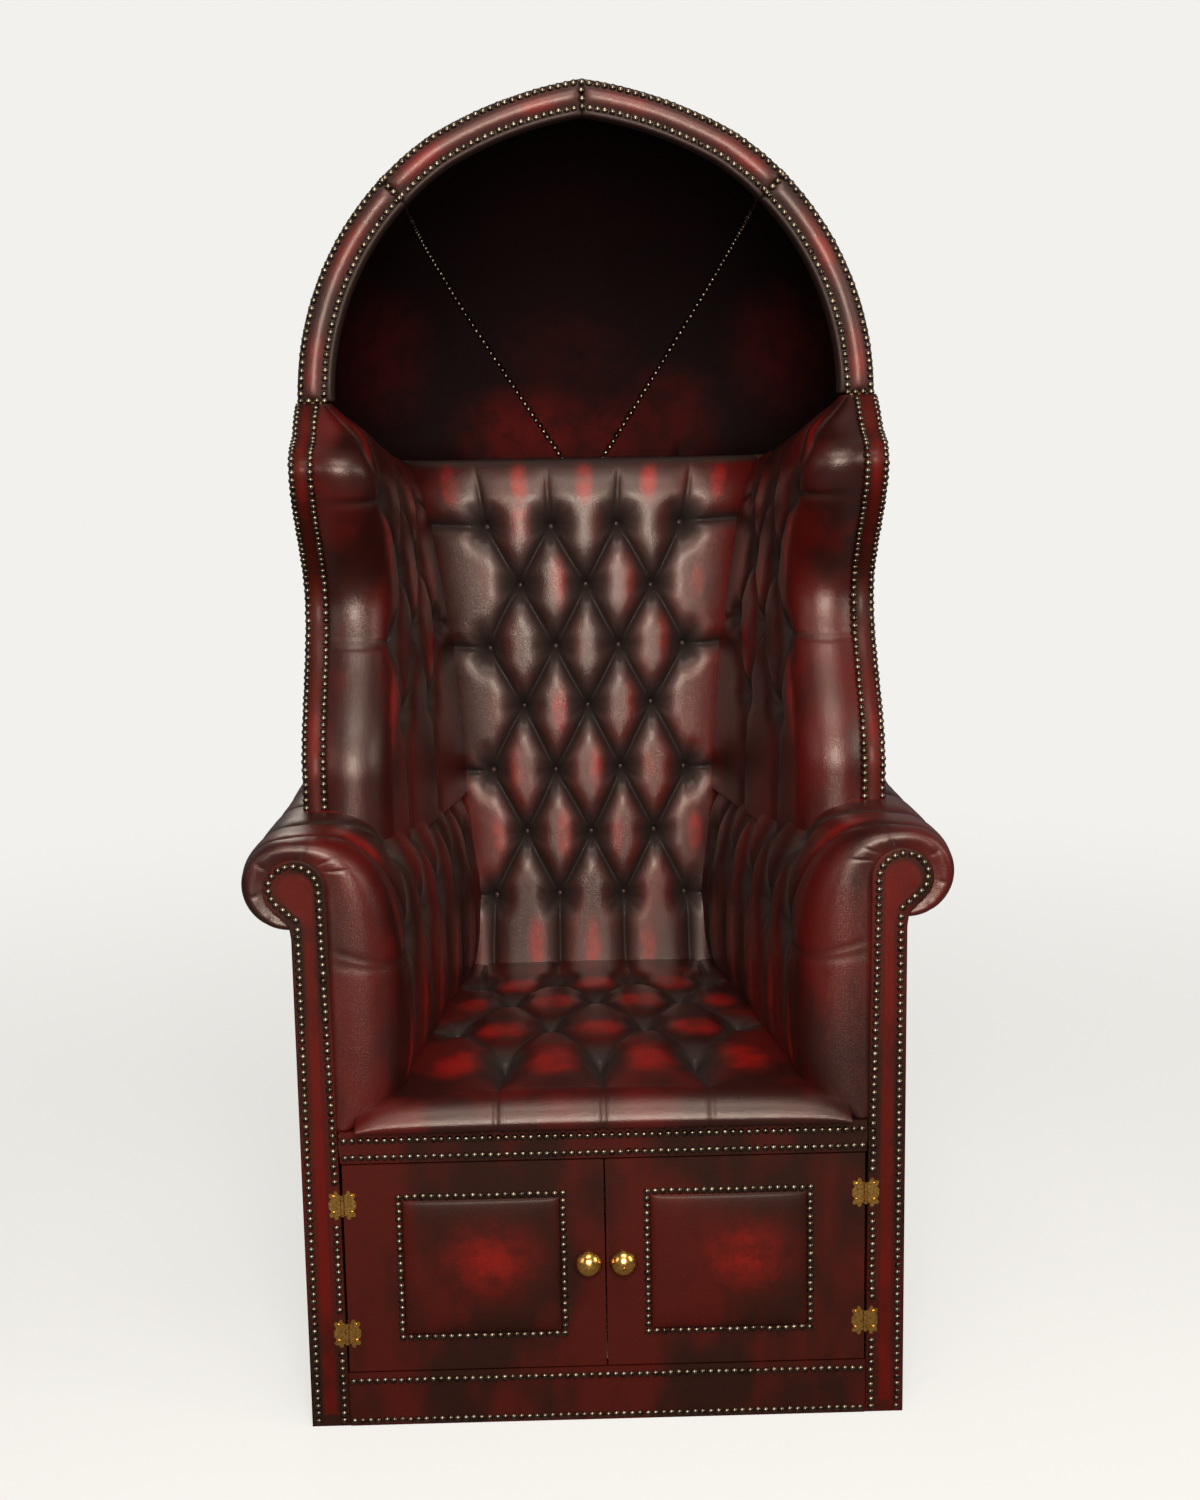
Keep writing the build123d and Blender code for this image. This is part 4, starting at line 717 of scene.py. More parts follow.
@dataclass
class Tufting:
    """Buttons and pleats that draw a stuffed sheet in."""

    buttons: list[Point]
    folds: list[Fold]
    depth: float = 23.0
    mouth: float = 27.0
    pucker: float = 0.4
    crown_soft: float = 2.0
    seed: int = 3
    sharpness: float = 2.6
    uneven: Point = (0.92, 1.06)
    well_reach: float = 1.9
    fold_reach: float = 3.8
    crease_width: float = 1.9
    crease_dye_and_shade: float = 0.28
    dye_and_shade_depth: float = 6.5

    @staticmethod
    def bank(out: np.ndarray) -> np.ndarray:
        """A stuffed bank's fall: 1 and steep where it is drawn in, 0 and level at its crown."""
        inward = 1 - np.clip(out, 0, 1)
        return 1 - np.sqrt(np.maximum(1 - inward**2, 0))

    def press(self, sheet: Sheet) -> None:
        """Presses the sheet in at its buttons and pleats, and marks where it is rubbed and where painted shade darkens
        its wells and creases.

        Args:
            sheet: the sheet, before it is pressed.
        """
        across, along = sheet.flat[..., 0], sheet.flat[..., 1]
        chance = random.Random(self.seed)
        total = np.zeros(across.shape)
        lines = np.zeros(across.shape)
        for x, y in self.buttons:
            reach = np.hypot(across - x, (along - y) * 0.92)
            angle = np.arctan2(along - y, across - x)
            well = self.depth * chance.uniform(*self.uneven) * self.bank((reach - 4.5) / (self.well_reach * self.mouth))
            spokes, turn = chance.choice((7, 8, 9, 11)), chance.uniform(0, math.tau)
            ray = np.cos(spokes * angle + turn) * np.exp(-((reach - 17) / 13) ** 2)
            total += np.maximum(well, 0) ** self.sharpness
            lines += self.pucker * ray
        for fold in self.folds:
            start, end = np.array(fold.start), np.array(fold.end)
            run = end - start
            length = max(1e-6, float(np.hypot(*run)))
            share = np.clip(((across - start[0]) * run[0] + (along - start[1]) * run[1]) / length**2, 0, 1)
            bow = chance.uniform(-2.0, 2.0) * np.sin(math.pi * share)
            side = ((along - start[1]) * run[0] - (across - start[0]) * run[1]) / length
            past = np.hypot(across - (start[0] + share * run[0]), along - (start[1] + share * run[1]))
            gap = np.where((share > 0) & (share < 1), np.abs(side - bow), past)
            last = fold.depth if fold.end_depth is None else fold.end_depth
            depth = fold.depth + (last - fold.depth) * share
            hug = np.sqrt(gap**2 + 0.9)
            total += (depth * self.bank((hug - 0.9) / (self.fold_reach * fold.width))) ** self.sharpness
            lines += fold.crease * np.minimum(1, depth / 4) * np.exp(-hug / self.crease_width)
        # The stuffing rounds the crowns between the wells.
        broad = 1.2 * (np.sqrt(total ** (2 / self.sharpness) + self.crown_soft**2) - self.crown_soft)
        # Wells and crease lines are darkened, partly as dye and partly as painted shade.
        dyed_and_shaded = self.crease_dye_and_shade * np.clip(lines, 0, 2)
        sheet.rub = np.clip(np.exp(-np.maximum(broad - 1.0, 0) / self.dye_and_shade_depth) - dyed_and_shaded, 0, 1)
        sheet.points = sheet.points - sheet.facing * (broad + lines)[..., None]


def stud_matrix(seat: np.ndarray, facing: Sequence[float], radius: float, height: float) -> Matrix:
    """Places a unit dome on its seat, turns it to its facing, and gives it its size in millimetres."""
    turn = Vector(facing).to_track_quat("Z", "Y").to_matrix().to_4x4()
    spread = Matrix.Diagonal((radius * MM, radius * MM, height * MM, 1.0))
    return Matrix.Translation(Vector(metres(seat))) @ turn @ spread


def add_buttons(places: Seats, name: str, stands_for: str) -> None:
    """Makes the covered buttons of one pad: pressed domes with a rolled edge.

    Args:
        places: each button's seat and facing, in chair millimetres.
        name: the piece's name.
        stands_for: the CAD node of buttons that it replaces.
    """
    radius, height, seated = 6.6, 4.6, 0.2
    bm = bmesh.new()
    rub = bm.verts.layers.float.new("rub")
    for seat, facing in places:
        made = bmesh.ops.create_uvsphere(bm, u_segments=20, v_segments=12, radius=1.0,
                                         matrix=stud_matrix(seat + facing * seated, facing, radius, height))
        for vert in made["verts"]:
            vert[rub] = 0.4
    add_piece(bm, name, (stands_for,))


@dataclass
class NailRows:
    """Upholstery nails in rows: pressed domes, 10 mm apart."""

    name: str
    body: str
    pitch: float = 10.0
    radius: float = 4.5
    height: float = 3.0
    lean: float = 0.07
    stray: float = 0.4
    seats: Seats = field(default_factory=list)

    def row(self, points: Sequence[Sequence[float]],
            facing: Sequence[float] | Callable[[np.ndarray], np.ndarray] = (0, -1, 0), skip_ends: bool = False) -> None:
        """Adds a row along a line.

        Args:
            points: the line, in chair millimetres.
            facing: the way the heads face, or a function of the place.
            skip_ends: leaves out the first and last nail, where rows meet.
        """
        places = even(np.array(points, float), self.pitch)
        for place in places[1:-1] if skip_ends else places:
            way = np.array(facing(place) if callable(facing) else facing, float)
            self.seats.append((place, way / np.linalg.norm(way)))

    def build(self) -> None:
        """Makes one piece of all the nails, each a low dome of a few dozen faces."""
        head = bmesh.new()
        bmesh.ops.create_uvsphere(head, u_segments=10, v_segments=6, radius=1.0)
        cut_away(head, Vector((0, 0, -0.02)), Vector((0, 0, 1)), clear_inner=True)
        bmesh.ops.contextual_create(head, geom=[edge for edge in head.edges if edge.is_boundary])
        pattern = bpy.data.meshes.new("nail_pattern")
        chance = random.Random(len(self.seats))
        bm = bmesh.new()
        for seat, facing in self.seats:
            way = [part + chance.uniform(-self.lean, self.lean) for part in facing]
            nudge = np.array([chance.uniform(-self.stray, self.stray) for _ in range(3)])
            nail = head.copy()
            nail.transform(stud_matrix(seat + nudge, way, self.radius, self.height))
            nail.to_mesh(pattern)
            nail.free()
            bm.from_mesh(pattern)
        head.free()
        bpy.data.meshes.remove(pattern)
        add_piece(bm, self.name, body=self.body, finish="nail")


# Sub-assemblies


@dataclass
class BackPad:
    """The diamond-buttoned back: seven rows of buttons, pleats between them and out to the edges."""

    foot: float = 396.0
    row_heights: tuple[float, ...] = (531.0, 629.0, 724.0, 822.0, 909.0, 1000.0, 1091.0)
    pitch: float = 99.0
    step: float = 2.7
    edge_roll: float = 34.0
    top_roll: float = 24.0
    top_run: float = 64.0
    tuck: float = 46.0
    head_marks: tuple[Point, ...] = ((-205.0, 0.5), (-98.0, 0.8), (0.0, 0.7), (98.0, 0.8), (205.0, 0.6))
    foot_marks: tuple[Point, ...] = ((-102.0, 0.55), (0.0, 0.6), (102.0, 0.5))

    @property
    def half(self) -> float:
        """Half the pad's flat width."""
        return FORM.back_head_half + self.tuck

    def place(self, across: np.ndarray, along: float) -> np.ndarray:
        """A row of points on the pad's crowned face, rolled back at the sides, the top and the foot."""
        half = FORM.back_half(along) + self.tuck
        share = across / self.half
        x = share * half
        crown = FORM.back_crown * (x / (half + FORM.back_tuck)) ** 2
        top = max(0.0, (along - (FORM.back_top - self.top_run)) / self.top_run)
        y = FORM.back_face(along) + crown + self.edge_roll * np.abs(share) ** 9 + self.top_roll * top**2
        return np.stack([x, y, np.full_like(x, along)], axis=1)

    def rows(self) -> list[list[Point]]:
        """The buttons, row by row from the foot: four, then three, and so on, spread to the pad's width."""
        chance = random.Random(5)
        rows = []
        for index, height in enumerate(self.row_heights):
            count = 3 if index % 2 else 4
            spread = self.half / (FORM.back_half(height) + self.tuck)
            rows.append([((place - (count - 1) / 2) * self.pitch * spread + chance.uniform(-2, 2),
                          height + chance.uniform(-2, 2)) for place in range(count)])
        return rows

    def folds(self, rows: list[list[Point]]) -> list[Fold]:
        """The pleats: diagonals, uprights at the top and the foot, and level ones out to the sides."""
        found = diamonds(rows, self.pitch, 13.0, 10.5, 1.8)
        found += [Fold((x, z), (x * 1.03, FORM.back_top - 12), 12.0, 1.0, 13.0, 1.4) for x, z in rows[-1]]
        found += [Fold((x, z), (x * 1.02, self.foot), 15.0, 9.0, 13.0, 0.8) for x, z in rows[0]]
        return found + [Fold((x, z), (math.copysign(self.half, x), z + 3), 13.0, 11.0, 10.0, 1.4)
                        for row in rows[::2] for x, z in (row[0], row[-1])]

    def build(self) -> None:
        """Makes the pad and its buttons."""
        across = np.linspace(-self.half, self.half, round(2 * self.half / self.step))
        along = np.linspace(self.foot, FORM.back_top, round((FORM.back_top - self.foot) / self.step))
        sheet = Sheet.lay(across, along, self.place, Vector((0, -1, 0)))
        rows = self.rows()
        buttons = [button for row in rows for button in row]
        Tufting(buttons, self.folds(rows), depth=29.0, mouth=29.0, pucker=0.45, crown_soft=1.0).press(sheet)
        chance = random.Random(11)
        for x, z in [button for row in rows[:-1] for button in row]:
            strength = chance.choice((0.1, 0.35, 0.45, 0.6))
            sheet.redden([(x + chance.choice((-12, 11, 13)), z + 98, 17, 44, strength)])
        sheet.redden([(x, 1150, 16, 36, strength) for x, strength in self.head_marks])
        sheet.redden([(x, 462, 19, 46, strength) for x, strength in self.foot_marks])
        # Painted shade darkens the top edge, where the pad rolls back.
        sheet.rub *= 1 - 0.8 * smooth((sheet.flat[..., 1] - (FORM.back_top - 14.0)) / 12.0)
        sheet.glow *= sheet.rub
        plane = FRONT_PLANE + (FORM.back_face(FORM.back_top) + 60.0) * MM
        places = [sheet.spot(*button) for button in buttons]
        sheet.pad("buttoned_back", "back_pad", lambda co: Vector((co.x, plane, co.z)))
        add_buttons(places, "back_covered_buttons", "back_buttons")


@dataclass
class SeatPad:
    """The buttoned seat: a crowned pad with a high rolled front edge."""

    rows_y: tuple[float, ...] = (142.0, 262.0, 385.0, 480.0)
    pitches: tuple[float, ...] = (125.0, 129.0, 120.0, 110.0)
    crown: float = 46.0
    nose: float = 24.0
    far: float = 600.0
    step: float = 3.0
    mark_aside: float = 62.0
    line: np.ndarray = field(init=False)
    steps: np.ndarray = field(init=False)
    top_start: int = field(init=False)

    def __post_init__(self) -> None:
        """Draws the pad's middle line from the foot of its front, over the rolled edge and back."""
        deck = FORM.deck + 1.0
        lip, brow = (-self.nose + 2, deck + 13.0), (24.0, deck + self.crown - 2)
        under = arc((3.0, deck), (-self.nose + 5, deck + 4.0), lip, np.linspace(0, 1, 14))
        front = arc(lip, (-9.0, deck + 33.0), brow, np.linspace(0, 1, 24))
        top = arc(brow, (240.0, deck + self.crown + 6), (self.far, deck + self.crown - 4), np.linspace(0, 1, 60))
        self.line = np.concatenate([under, front[1:], top[1:]])
        self.steps = run(self.line)
        self.top_start = len(under) + len(front) - 2

    def place(self, across: np.ndarray, along: float) -> np.ndarray:
        """A row of points across the pad; the sides drop to meet the arms."""
        y, z = at(self.line, self.steps, along)
        half = FORM.seat_half(max(0.0, y)) - 1.0
        share = across / FORM.seat_front_half
        drop = (z - FORM.deck) * (0.16 * share**2 + 0.42 * np.abs(share) ** 14)
        return np.stack([share * half, np.full_like(share, y), z - drop], axis=1)

    def rows(self) -> list[list[Point]]:
        """The buttons, row by row from the front: three, then four, and so on, spread to the pad's width."""
        found = []
        for index, (y, pitch) in enumerate(zip(self.rows_y, self.pitches)):
            count = 4 if index % 2 else 3
            flat = float(np.interp(y, self.line[self.top_start:, 0], self.steps[self.top_start:]))
            spread = FORM.seat_front_half / FORM.seat_half(y)
            found.append([((place - (count - 1) / 2) * pitch * spread, flat) for place in range(count)])
        return found

    def folds(self, rows: list[list[Point]]) -> list[Fold]:
        """The pleats: diagonals, deep ones over the front edge with small wrinkles, and those to back and sides."""
        found = diamonds(rows, 110, 7.0, 14.0, 1.2)
        for x, s in rows[0]:
            found += [Fold((x, s), (x, 88.0), 26.0, 2.0, 21.0, 1.0), Fold((x, s), (x, 8.0), 2.6, 2.2, 4.0, 2.2)]
            found += [Fold((x + lean * 0.35, s - 8), (x + lean, s - 52), 3.0, 0.4, 3.6, 1.6)
                      for lean in (-17, -9, 8, 16)]
        found += [Fold((x, s), (x * 1.05, self.steps[-1]), 8.0, 4.0, 12.0, 1.0) for x, s in rows[-1]]
        return found + [Fold((x, s), (math.copysign(FORM.seat_front_half, x), s + 5), 8.0, 6.0, 12.0, 1.6)
                        for row in rows[1::2] for x, s in (row[0], row[-1])]

    def build(self) -> None:
        """Makes the pad and its buttons."""
        full = FORM.seat_front_half
        across = np.linspace(-full, full, round(2 * full / self.step))
        along = np.linspace(0, self.steps[-1], round(self.steps[-1] / self.step))
        sheet = Sheet.lay(across, along, self.place, Vector((0, 0, 1)))
        rows = self.rows()
        buttons = [button for row in rows for button in row]
        Tufting(buttons, self.folds(rows), depth=25.0, mouth=31.0, crown_soft=1.5, seed=9).press(sheet)
        for index, row in enumerate(rows):
            size = (30, 36) if index else (40, 58)
            sheet.redden([(x + aside, s - 26, *size, 0.72) for x, s in row
                          for aside in (-self.mark_aside, self.mark_aside)])
        sheet.glow *= sheet.rub
        floor = (FORM.deck + 0.4) * MM
        places = [sheet.spot(*button) for button in buttons]
        sheet.pad("buttoned_seat", "seat_pad",
                  lambda co: Vector((co.x, max(co.y, FRONT_PLANE - 8 * MM), floor)))
        add_buttons(places, "seat_covered_buttons", "seat_buttons")


@dataclass
class ArmPad:
    """A rolled arm: up from the seat, over a fat belly, round the roll and in under it."""

    side: Side
    roll: float = 60.0
    roll_tail: float = 44.0
    roll_height: float = 705.0
    roll_centre: float = 378.0
    upstand: float = 14.0
    belly_height: float = 510.0
    near: float = 4.0
    far: float = 618.0
    nose_run: float = 62.0
    full_run: float = 640.0
    step: float = 3.0
    breaks: tuple[float, ...] = (0.0, 10.0, 130.0, 420.0, 600.0)
    pitch: float = 118.0
    low_q: float = 212.0
    top_q: float = 306.0
    under_q: float = 425.0
    head_centre: Point = (369.0, 700.0)
    head_radius: float = 37.0

    @property
    def foot(self) -> float:
        """Height of the pad's foot, just above the deck."""
        return FORM.deck + 0.4

    def section(self, y: float) -> np.ndarray:
        """The arm's outline at one depth, in |x| and z, with one point per millimetre."""
        # The roll thins towards the back, where the wing's outside takes over.
        wide_roll = float(np.interp(y, [60.0, 300.0], [self.roll, self.roll_tail]))
        tall_roll = self.roll - 2.0
        fullest = (float(FORM.belly_half(y)), self.belly_height)
        low = resample(shoulder(fullest, (float(FORM.seat_half(y)), self.foot), 2.6)[::-1], int(self.breaks[2]) + 1)
        top = resample(shoulder(fullest, (self.roll_centre, self.roll_height + tall_roll)),
                       int(self.breaks[3] - self.breaks[2]) + 1)
        turns = np.linspace(math.pi / 2, -math.pi / 2 - 0.35, int(self.breaks[4] - self.breaks[3]) + 1)
        round_roll = np.stack([self.roll_centre + wide_roll * np.cos(turns),
                               self.roll_height + tall_roll * np.sin(turns)], 1)
        return np.concatenate([low, top[1:], round_roll[1:]])

    def facing_edge(self, across: np.ndarray) -> np.ndarray:
        """Where the roll's nose springs from: the facing's edge, in |x| and z, matched to places round the arm."""
        (cx, cz), radius = self.head_centre, self.head_radius
        inner = cx - radius
        head, under = (np.stack([middle + radius * np.cos(turns), cz + radius * np.sin(turns)], 1)
                       for middle, turns in ((cx, np.linspace(math.pi, math.pi / 2, 24)),
                                             (cx + 4, np.linspace(math.pi / 2, -math.pi / 2, 40))))
        stand = np.array([[inner, self.foot], [inner, self.foot + self.upstand], [inner, self.belly_height]])
        climb = even(np.array([[inner, self.belly_height], [inner, cz]]), 10.0)[1:]
        climb = np.concatenate([climb, head[1:]])
        _, brow, low, top, last = self.breaks
        places = np.concatenate([[0.0, brow, low], np.linspace(low, top, len(climb) + 1)[1:],
                                 np.linspace(top, last, len(under))[1:]])
        return at(np.concatenate([stand, climb, under[1:]]), places, across)

    def place(self, across: np.ndarray, along: float) -> np.ndarray:
        """A row of points round the arm; the first rows roll from the facing's edge out over the nose."""
        reach = np.interp(across, [0.0, 60.0, 200.0, 330.0, 420.0, 600.0], [40.0, 50.0, 54.0, 42.0, 26.0, 24.0])
        if along <= self.nose_run:
            share = along / self.nose_run
            out = math.sin(share * math.pi / 2) ** 0.85
            depth = self.near + reach * (1 - math.cos(share * math.pi / 2)) - 7.0 * math.sin(math.pi * share) ** 1.2
        else:
            out = 1.0
            rest = (along - self.nose_run) / (self.full_run - self.nose_run)
            depth = self.near + reach + (self.far - self.near - reach) * rest
        outline = self.section(float(np.mean(depth)))
        full = at(outline, np.linspace(0, self.breaks[-1], len(outline)), across)
        spot = self.facing_edge(across) * (1 - out) + full * out
        return np.stack([self.side.value * spot[:, 0], depth * np.ones_like(across), spot[:, 1]], axis=1)

    def folds(self, low: list[Point], top: list[Point]) -> list[Fold]:
        """The pleats: diagonals, uprights down to the seat, those over the roll, and wrinkles on the nose."""
        last, first = self.breaks[-1], low[0]
        ear, under = (self.top_q + 20, 84.0), (self.under_q, 60.0)
        found = [Fold(start, end, 11.0, width=12.0) for start in low for end in top
                 if abs(end[1] - start[1]) < 0.7 * self.pitch]
        found.append(Fold(first, ear, 6.0, 3.0, 10.0, 1.2))
        found += [Fold((q, y), (20.0, y + 3), 12.0, 8.0, 13.0, 1.6) for q, y in low]
        found += [Fold(first, (self.low_q - 10 + offset, 4.0), 3.0, 1.4, 5.0, 2.4) for offset in (-5.0, 6.0)]
        for q, y in top:
            found += [Fold((q, y), (self.under_q, y - 52), 12.0, 8.0, 13.0, 2.2),
                      Fold((self.under_q, y - 52), (last, y - 62), 8.0, 6.0, 12.0, 2.2)]
        found += [Fold(ear, under, 4.0, 5.0, 9.0, 2.4), Fold(under, (last, 52.0), 5.0, 4.0, 10.0, 2.4)]
        wrinkles = ((398.0, 64.0), (352.0, 46.0), (326.0, 52.0), (468.0, 40.0), (516.0, 34.0), (560.0, 50.0))
        return found + [Fold((q, 8.0), (q - 4, reach), 2.0, 0.6, 3.2, 2.2) for q, reach in wrinkles]

    def build(self) -> Seats:
        """Makes the pad, and returns the seats of its buttons."""
        across = np.linspace(0, self.breaks[-1], round(self.breaks[-1] / self.step))
        along = np.concatenate([np.linspace(0.0, self.nose_run, 30),
                                np.arange(self.nose_run + self.step, self.full_run, self.step)])
        sheet = Sheet.lay(across, along, self.place, Vector((-self.side.value, 0, 0.2)))
        low = [(self.low_q, 130.0 + self.pitch * place) for place in range(5)]
        top = [(self.top_q, 189.0 + self.pitch * place) for place in range(4)]
        Tufting(low + top, self.folds(low, top), depth=27.0, mouth=31.0, seed=21).press(sheet)
        sheet.redden([(348.0, 96.0, 52.0, 20.0, 0.5), (404.0, 112.0, 34.0, 15.0, 0.25), (455.0, 86.0, 46.0, 14.0, 0.2),
                      (84.0, 94.0, 66.0, 15.0, 0.8), (252.0, 70.0, 50.0, 12.0, 0.25)])
        sheet.redden([(q - 96, y + 59, 64.0, 19.0, 0.65) for q, y in low])
        sheet.redden([(q + 62, y + 18, 66.0, 18.0, 0.7) for q, y in top])
        sheet.glow *= sheet.rub
        wall = self.side.value * 352.0 * MM
        near, far = FRONT_PLANE + 23 * MM, FRONT_PLANE + (self.far - 4) * MM
        places = [sheet.spot(*button) for button in low[:4] + top[:1]]
        sheet.pad(f"rolled_arm_{self.side.word}", f"arm_pad_{self.side.word}",
                  lambda co: Vector((wall, min(max(co.y, near), far), min(co.z, 0.655))))
        return places


@dataclass
class WingPad:
    """A buttoned wing: a smooth upright roll on its front edge, and narrow diamonds behind it."""

    side: Side
    row_heights: tuple[float, ...] = (862.0, 963.0, 1058.0, 1169.0)
    column_shares: tuple[tuple[float, ...], ...] = ((0.20, 0.56), (0.03, 0.38, 0.74), (0.20, 0.56), (0.03, 0.38, 0.74))
    foot: float = 690.0
    nose_run: float = 118.0
    full_run: float = 470.0
    step: float = 3.0
    outer: float = 350.0
    thin_run: float = 52.0
    nose_count: int = 60
    face_count: int = 120

    @property
    def top(self) -> float:
        """Height of the pad's top at the front, just under the hood's seam."""
        return FORM.seam_front - 2.0

    def section(self, z: float) -> np.ndarray:
        """The wing in plan at one height, in |x| and y: round the front roll, then flat to the back."""
        front = FORM.wing_front(z) + 4.5
        inner = FORM.wing_half(z)
        room = self.outer - inner
        bulge = room / 88.0
        nose = arc((self.outer, front), (inner + room * 0.30, front - 5.0 * bulge), (inner, front + 36.0 * bulge),
                   np.linspace(0, 1, self.nose_count))
        back = np.array([FORM.back_half(z) + 2.0, FORM.back_face(z) + 44.0])
        return np.concatenate([nose, np.linspace(nose[-1], back, self.face_count)[1:]])

    def place(self, across: np.ndarray, along: float) -> np.ndarray:
        """A row of points round the wing at one height; the nose and the face each keep their share of the run."""
        line = self.section(along)
        nose = resample(line[:self.nose_count], self.nose_count)
        face = resample(line[self.nose_count - 1:], self.face_count)
        places = np.concatenate([np.linspace(0, self.nose_run, self.nose_count),
                                 np.linspace(self.nose_run, self.full_run, self.face_count)[1:]])
        x, y = at(np.concatenate([nose, face[1:]]), places, across).T
        seam = np.array([FORM.seam(max(depth, FORM.rim_front)) for depth in y]) - 2.0
        level = self.foot + (along - self.foot) * (seam - self.foot) / (self.top - self.foot)
        # The top edge thins towards the hood's lining.
        rise = np.clip((along - (self.top - self.thin_run)) / self.thin_run, 0, 1) ** 2
        x = x + np.maximum(0.0, 346.0 - x) * 0.5 * rise * np.clip(1.25 - (y - 200.0) / 420.0, 0.2, 1.0)
        return np.stack([self.side.value * x, y, level], axis=1)

    def rows(self) -> list[list[Point]]:
        """The buttons, row by row from the foot, as places on the flat sheet."""
        found = []
        for height, shares in zip(self.row_heights, self.column_shares):
            # The seam slopes down to the back, so a level row of buttons climbs on the flat sheet.
            depths = [FORM.wing_front(height) + 40 + share * 330 for share in shares]
            scales = [(FORM.seam(depth) - self.foot) / (self.top - self.foot) for depth in depths]
            found.append([(self.nose_run + share * (self.full_run - self.nose_run),
                           self.foot + (height - self.foot) / scale) for share, scale in zip(shares, scales)])
        return found

    def folds(self, rows: list[list[Point]]) -> list[Fold]:
        """The pleats: diagonals, pairs that cross the nose, and those out to the back, the foot and the top."""
        found = diamonds(rows, 95, 8.5, 11.0, 2.2)
        for row in rows[1::2]:
            found += [Fold(row[0], (4.0, row[0][1] + offset), 4.0, 1.6, 5.0, 2.0) for offset in (-3.5, 3.5)]
            found.append(Fold(row[-1], (self.full_run, row[-1][1] - 4), 7.0, 6.0, 9.0, 2.0))
        found += [Fold((x, z), (x + 4, self.foot), 8.0, 6.0, 12.0, 2.0) for x, z in rows[0]]
        found += [Fold((x, z), (x + 8, self.top), 7.0, 6.0, 11.0, 2.0) for x, z in rows[-1]]
        return [*found, Fold(rows[-1][0], (self.nose_run - 50, self.top), 8.0, 4.0, 16.0, 0.6)]

    def build(self) -> Seats:
        """Makes the pad, and returns the seats of its buttons."""
        across = np.linspace(0, self.full_run, round(self.full_run / self.step))
        along = np.linspace(self.foot, self.top, round((self.top - self.foot) / self.step))
        sheet = Sheet.lay(across, along, self.place, Vector((-self.side.value, 0, 0)))
        rows = self.rows()
        buttons = [button for row in rows for button in row]
        Tufting(buttons, self.folds(rows), depth=25.0, mouth=28.0, seed=33).press(sheet)
        sheet.redden([(self.nose_run + 2, height, 19, 66, 0.7) for height in (885.0, 1095.0)])
        sheet.redden([(self.nose_run - 10, 1232, 14, 30, 0.35)])
        sheet.redden([(x, z + 78, 22, 58, 0.5) for row in rows[:3] for x, z in row[1:]])
        sheet.glow *= sheet.rub
        wall = self.side.value * 348.0 * MM
        places = [sheet.spot(*button) for button in buttons if button[0] < self.full_run - 60]
        sheet.pad(f"buttoned_wing_{self.side.word}", f"wing_pad_{self.side.word}",
                  lambda co: Vector((wall, co.y, co.z)))
        return places


def thicken(bm: bmesh.types.BMesh, face: bmesh.types.BMFace, way: Vector, thickness: float) -> None:
    """Gives an open sheet a thickness.

    Args:
        bm: the sheet's mesh.
        face: one of its faces.
        way: the way that this face has to look.
        thickness: in millimetres.
    """
    bmesh.ops.recalc_face_normals(bm, faces=bm.faces)
    if face.normal.dot(way) < 0:
        bmesh.ops.reverse_faces(bm, faces=bm.faces)
    bmesh.ops.solidify(bm, geom=bm.faces[:], thickness=thickness * MM)


@dataclass
class Strip:
    """A narrow leather-covered board: a soft crown that rises from its edge over a few insets."""

    name: str
    crown: float
    thickness: float
    glow: float = 0.28
    insets: tuple[float, ...] = (1.5, 3.0, 4.0, 4.5, 5.0)

    def build(self, outline: Sequence[Point], stands_for: str) -> None:
        """Makes the strip.

        Args:
            outline: its corners in x and z at the front plane, in chair millimetres.
            stands_for: the CAD node that it replaces.
        """
        bm = bmesh.new()
        rub, red = (bm.verts.layers.float.new(layer) for layer in ("rub", "glow"))
        face = bm.faces.new([bm.verts.new(Vector(metres(np.array([x, 0.0, z])))) for x, z in outline])
        if face.normal.y > 0:
            bmesh.ops.reverse_faces(bm, faces=[face])
        face.normal_update()
        # The extruded copy becomes the rear; the first face stays in front.
        for part in bmesh.ops.extrude_face_region(bm, geom=[face])["geom"]:
            if isinstance(part, bmesh.types.BMVert):
                part.co.y += self.thickness * MM
        front = min(bm.faces, key=lambda each: (each.calc_center_median().y, -each.calc_area()))
        rise = reach = 0.0
        for step in self.insets:
            reach += step
            height = self.crown * math.sin(math.pi / 2 * reach / sum(self.insets))
            bmesh.ops.inset_region(bm, faces=[front], thickness=step * MM, depth=(height - rise) * MM,
                                   use_even_offset=True)
            rise = height
        for vert in bm.verts:
            vert[rub] = 0.2
        for vert in front.verts:
            vert[rub] = 1.0
            vert[red] = self.glow
        bmesh.ops.recalc_face_normals(bm, faces=bm.faces)
        add_piece(bm, self.name, (stands_for,), finish=BOARD_LEATHER)


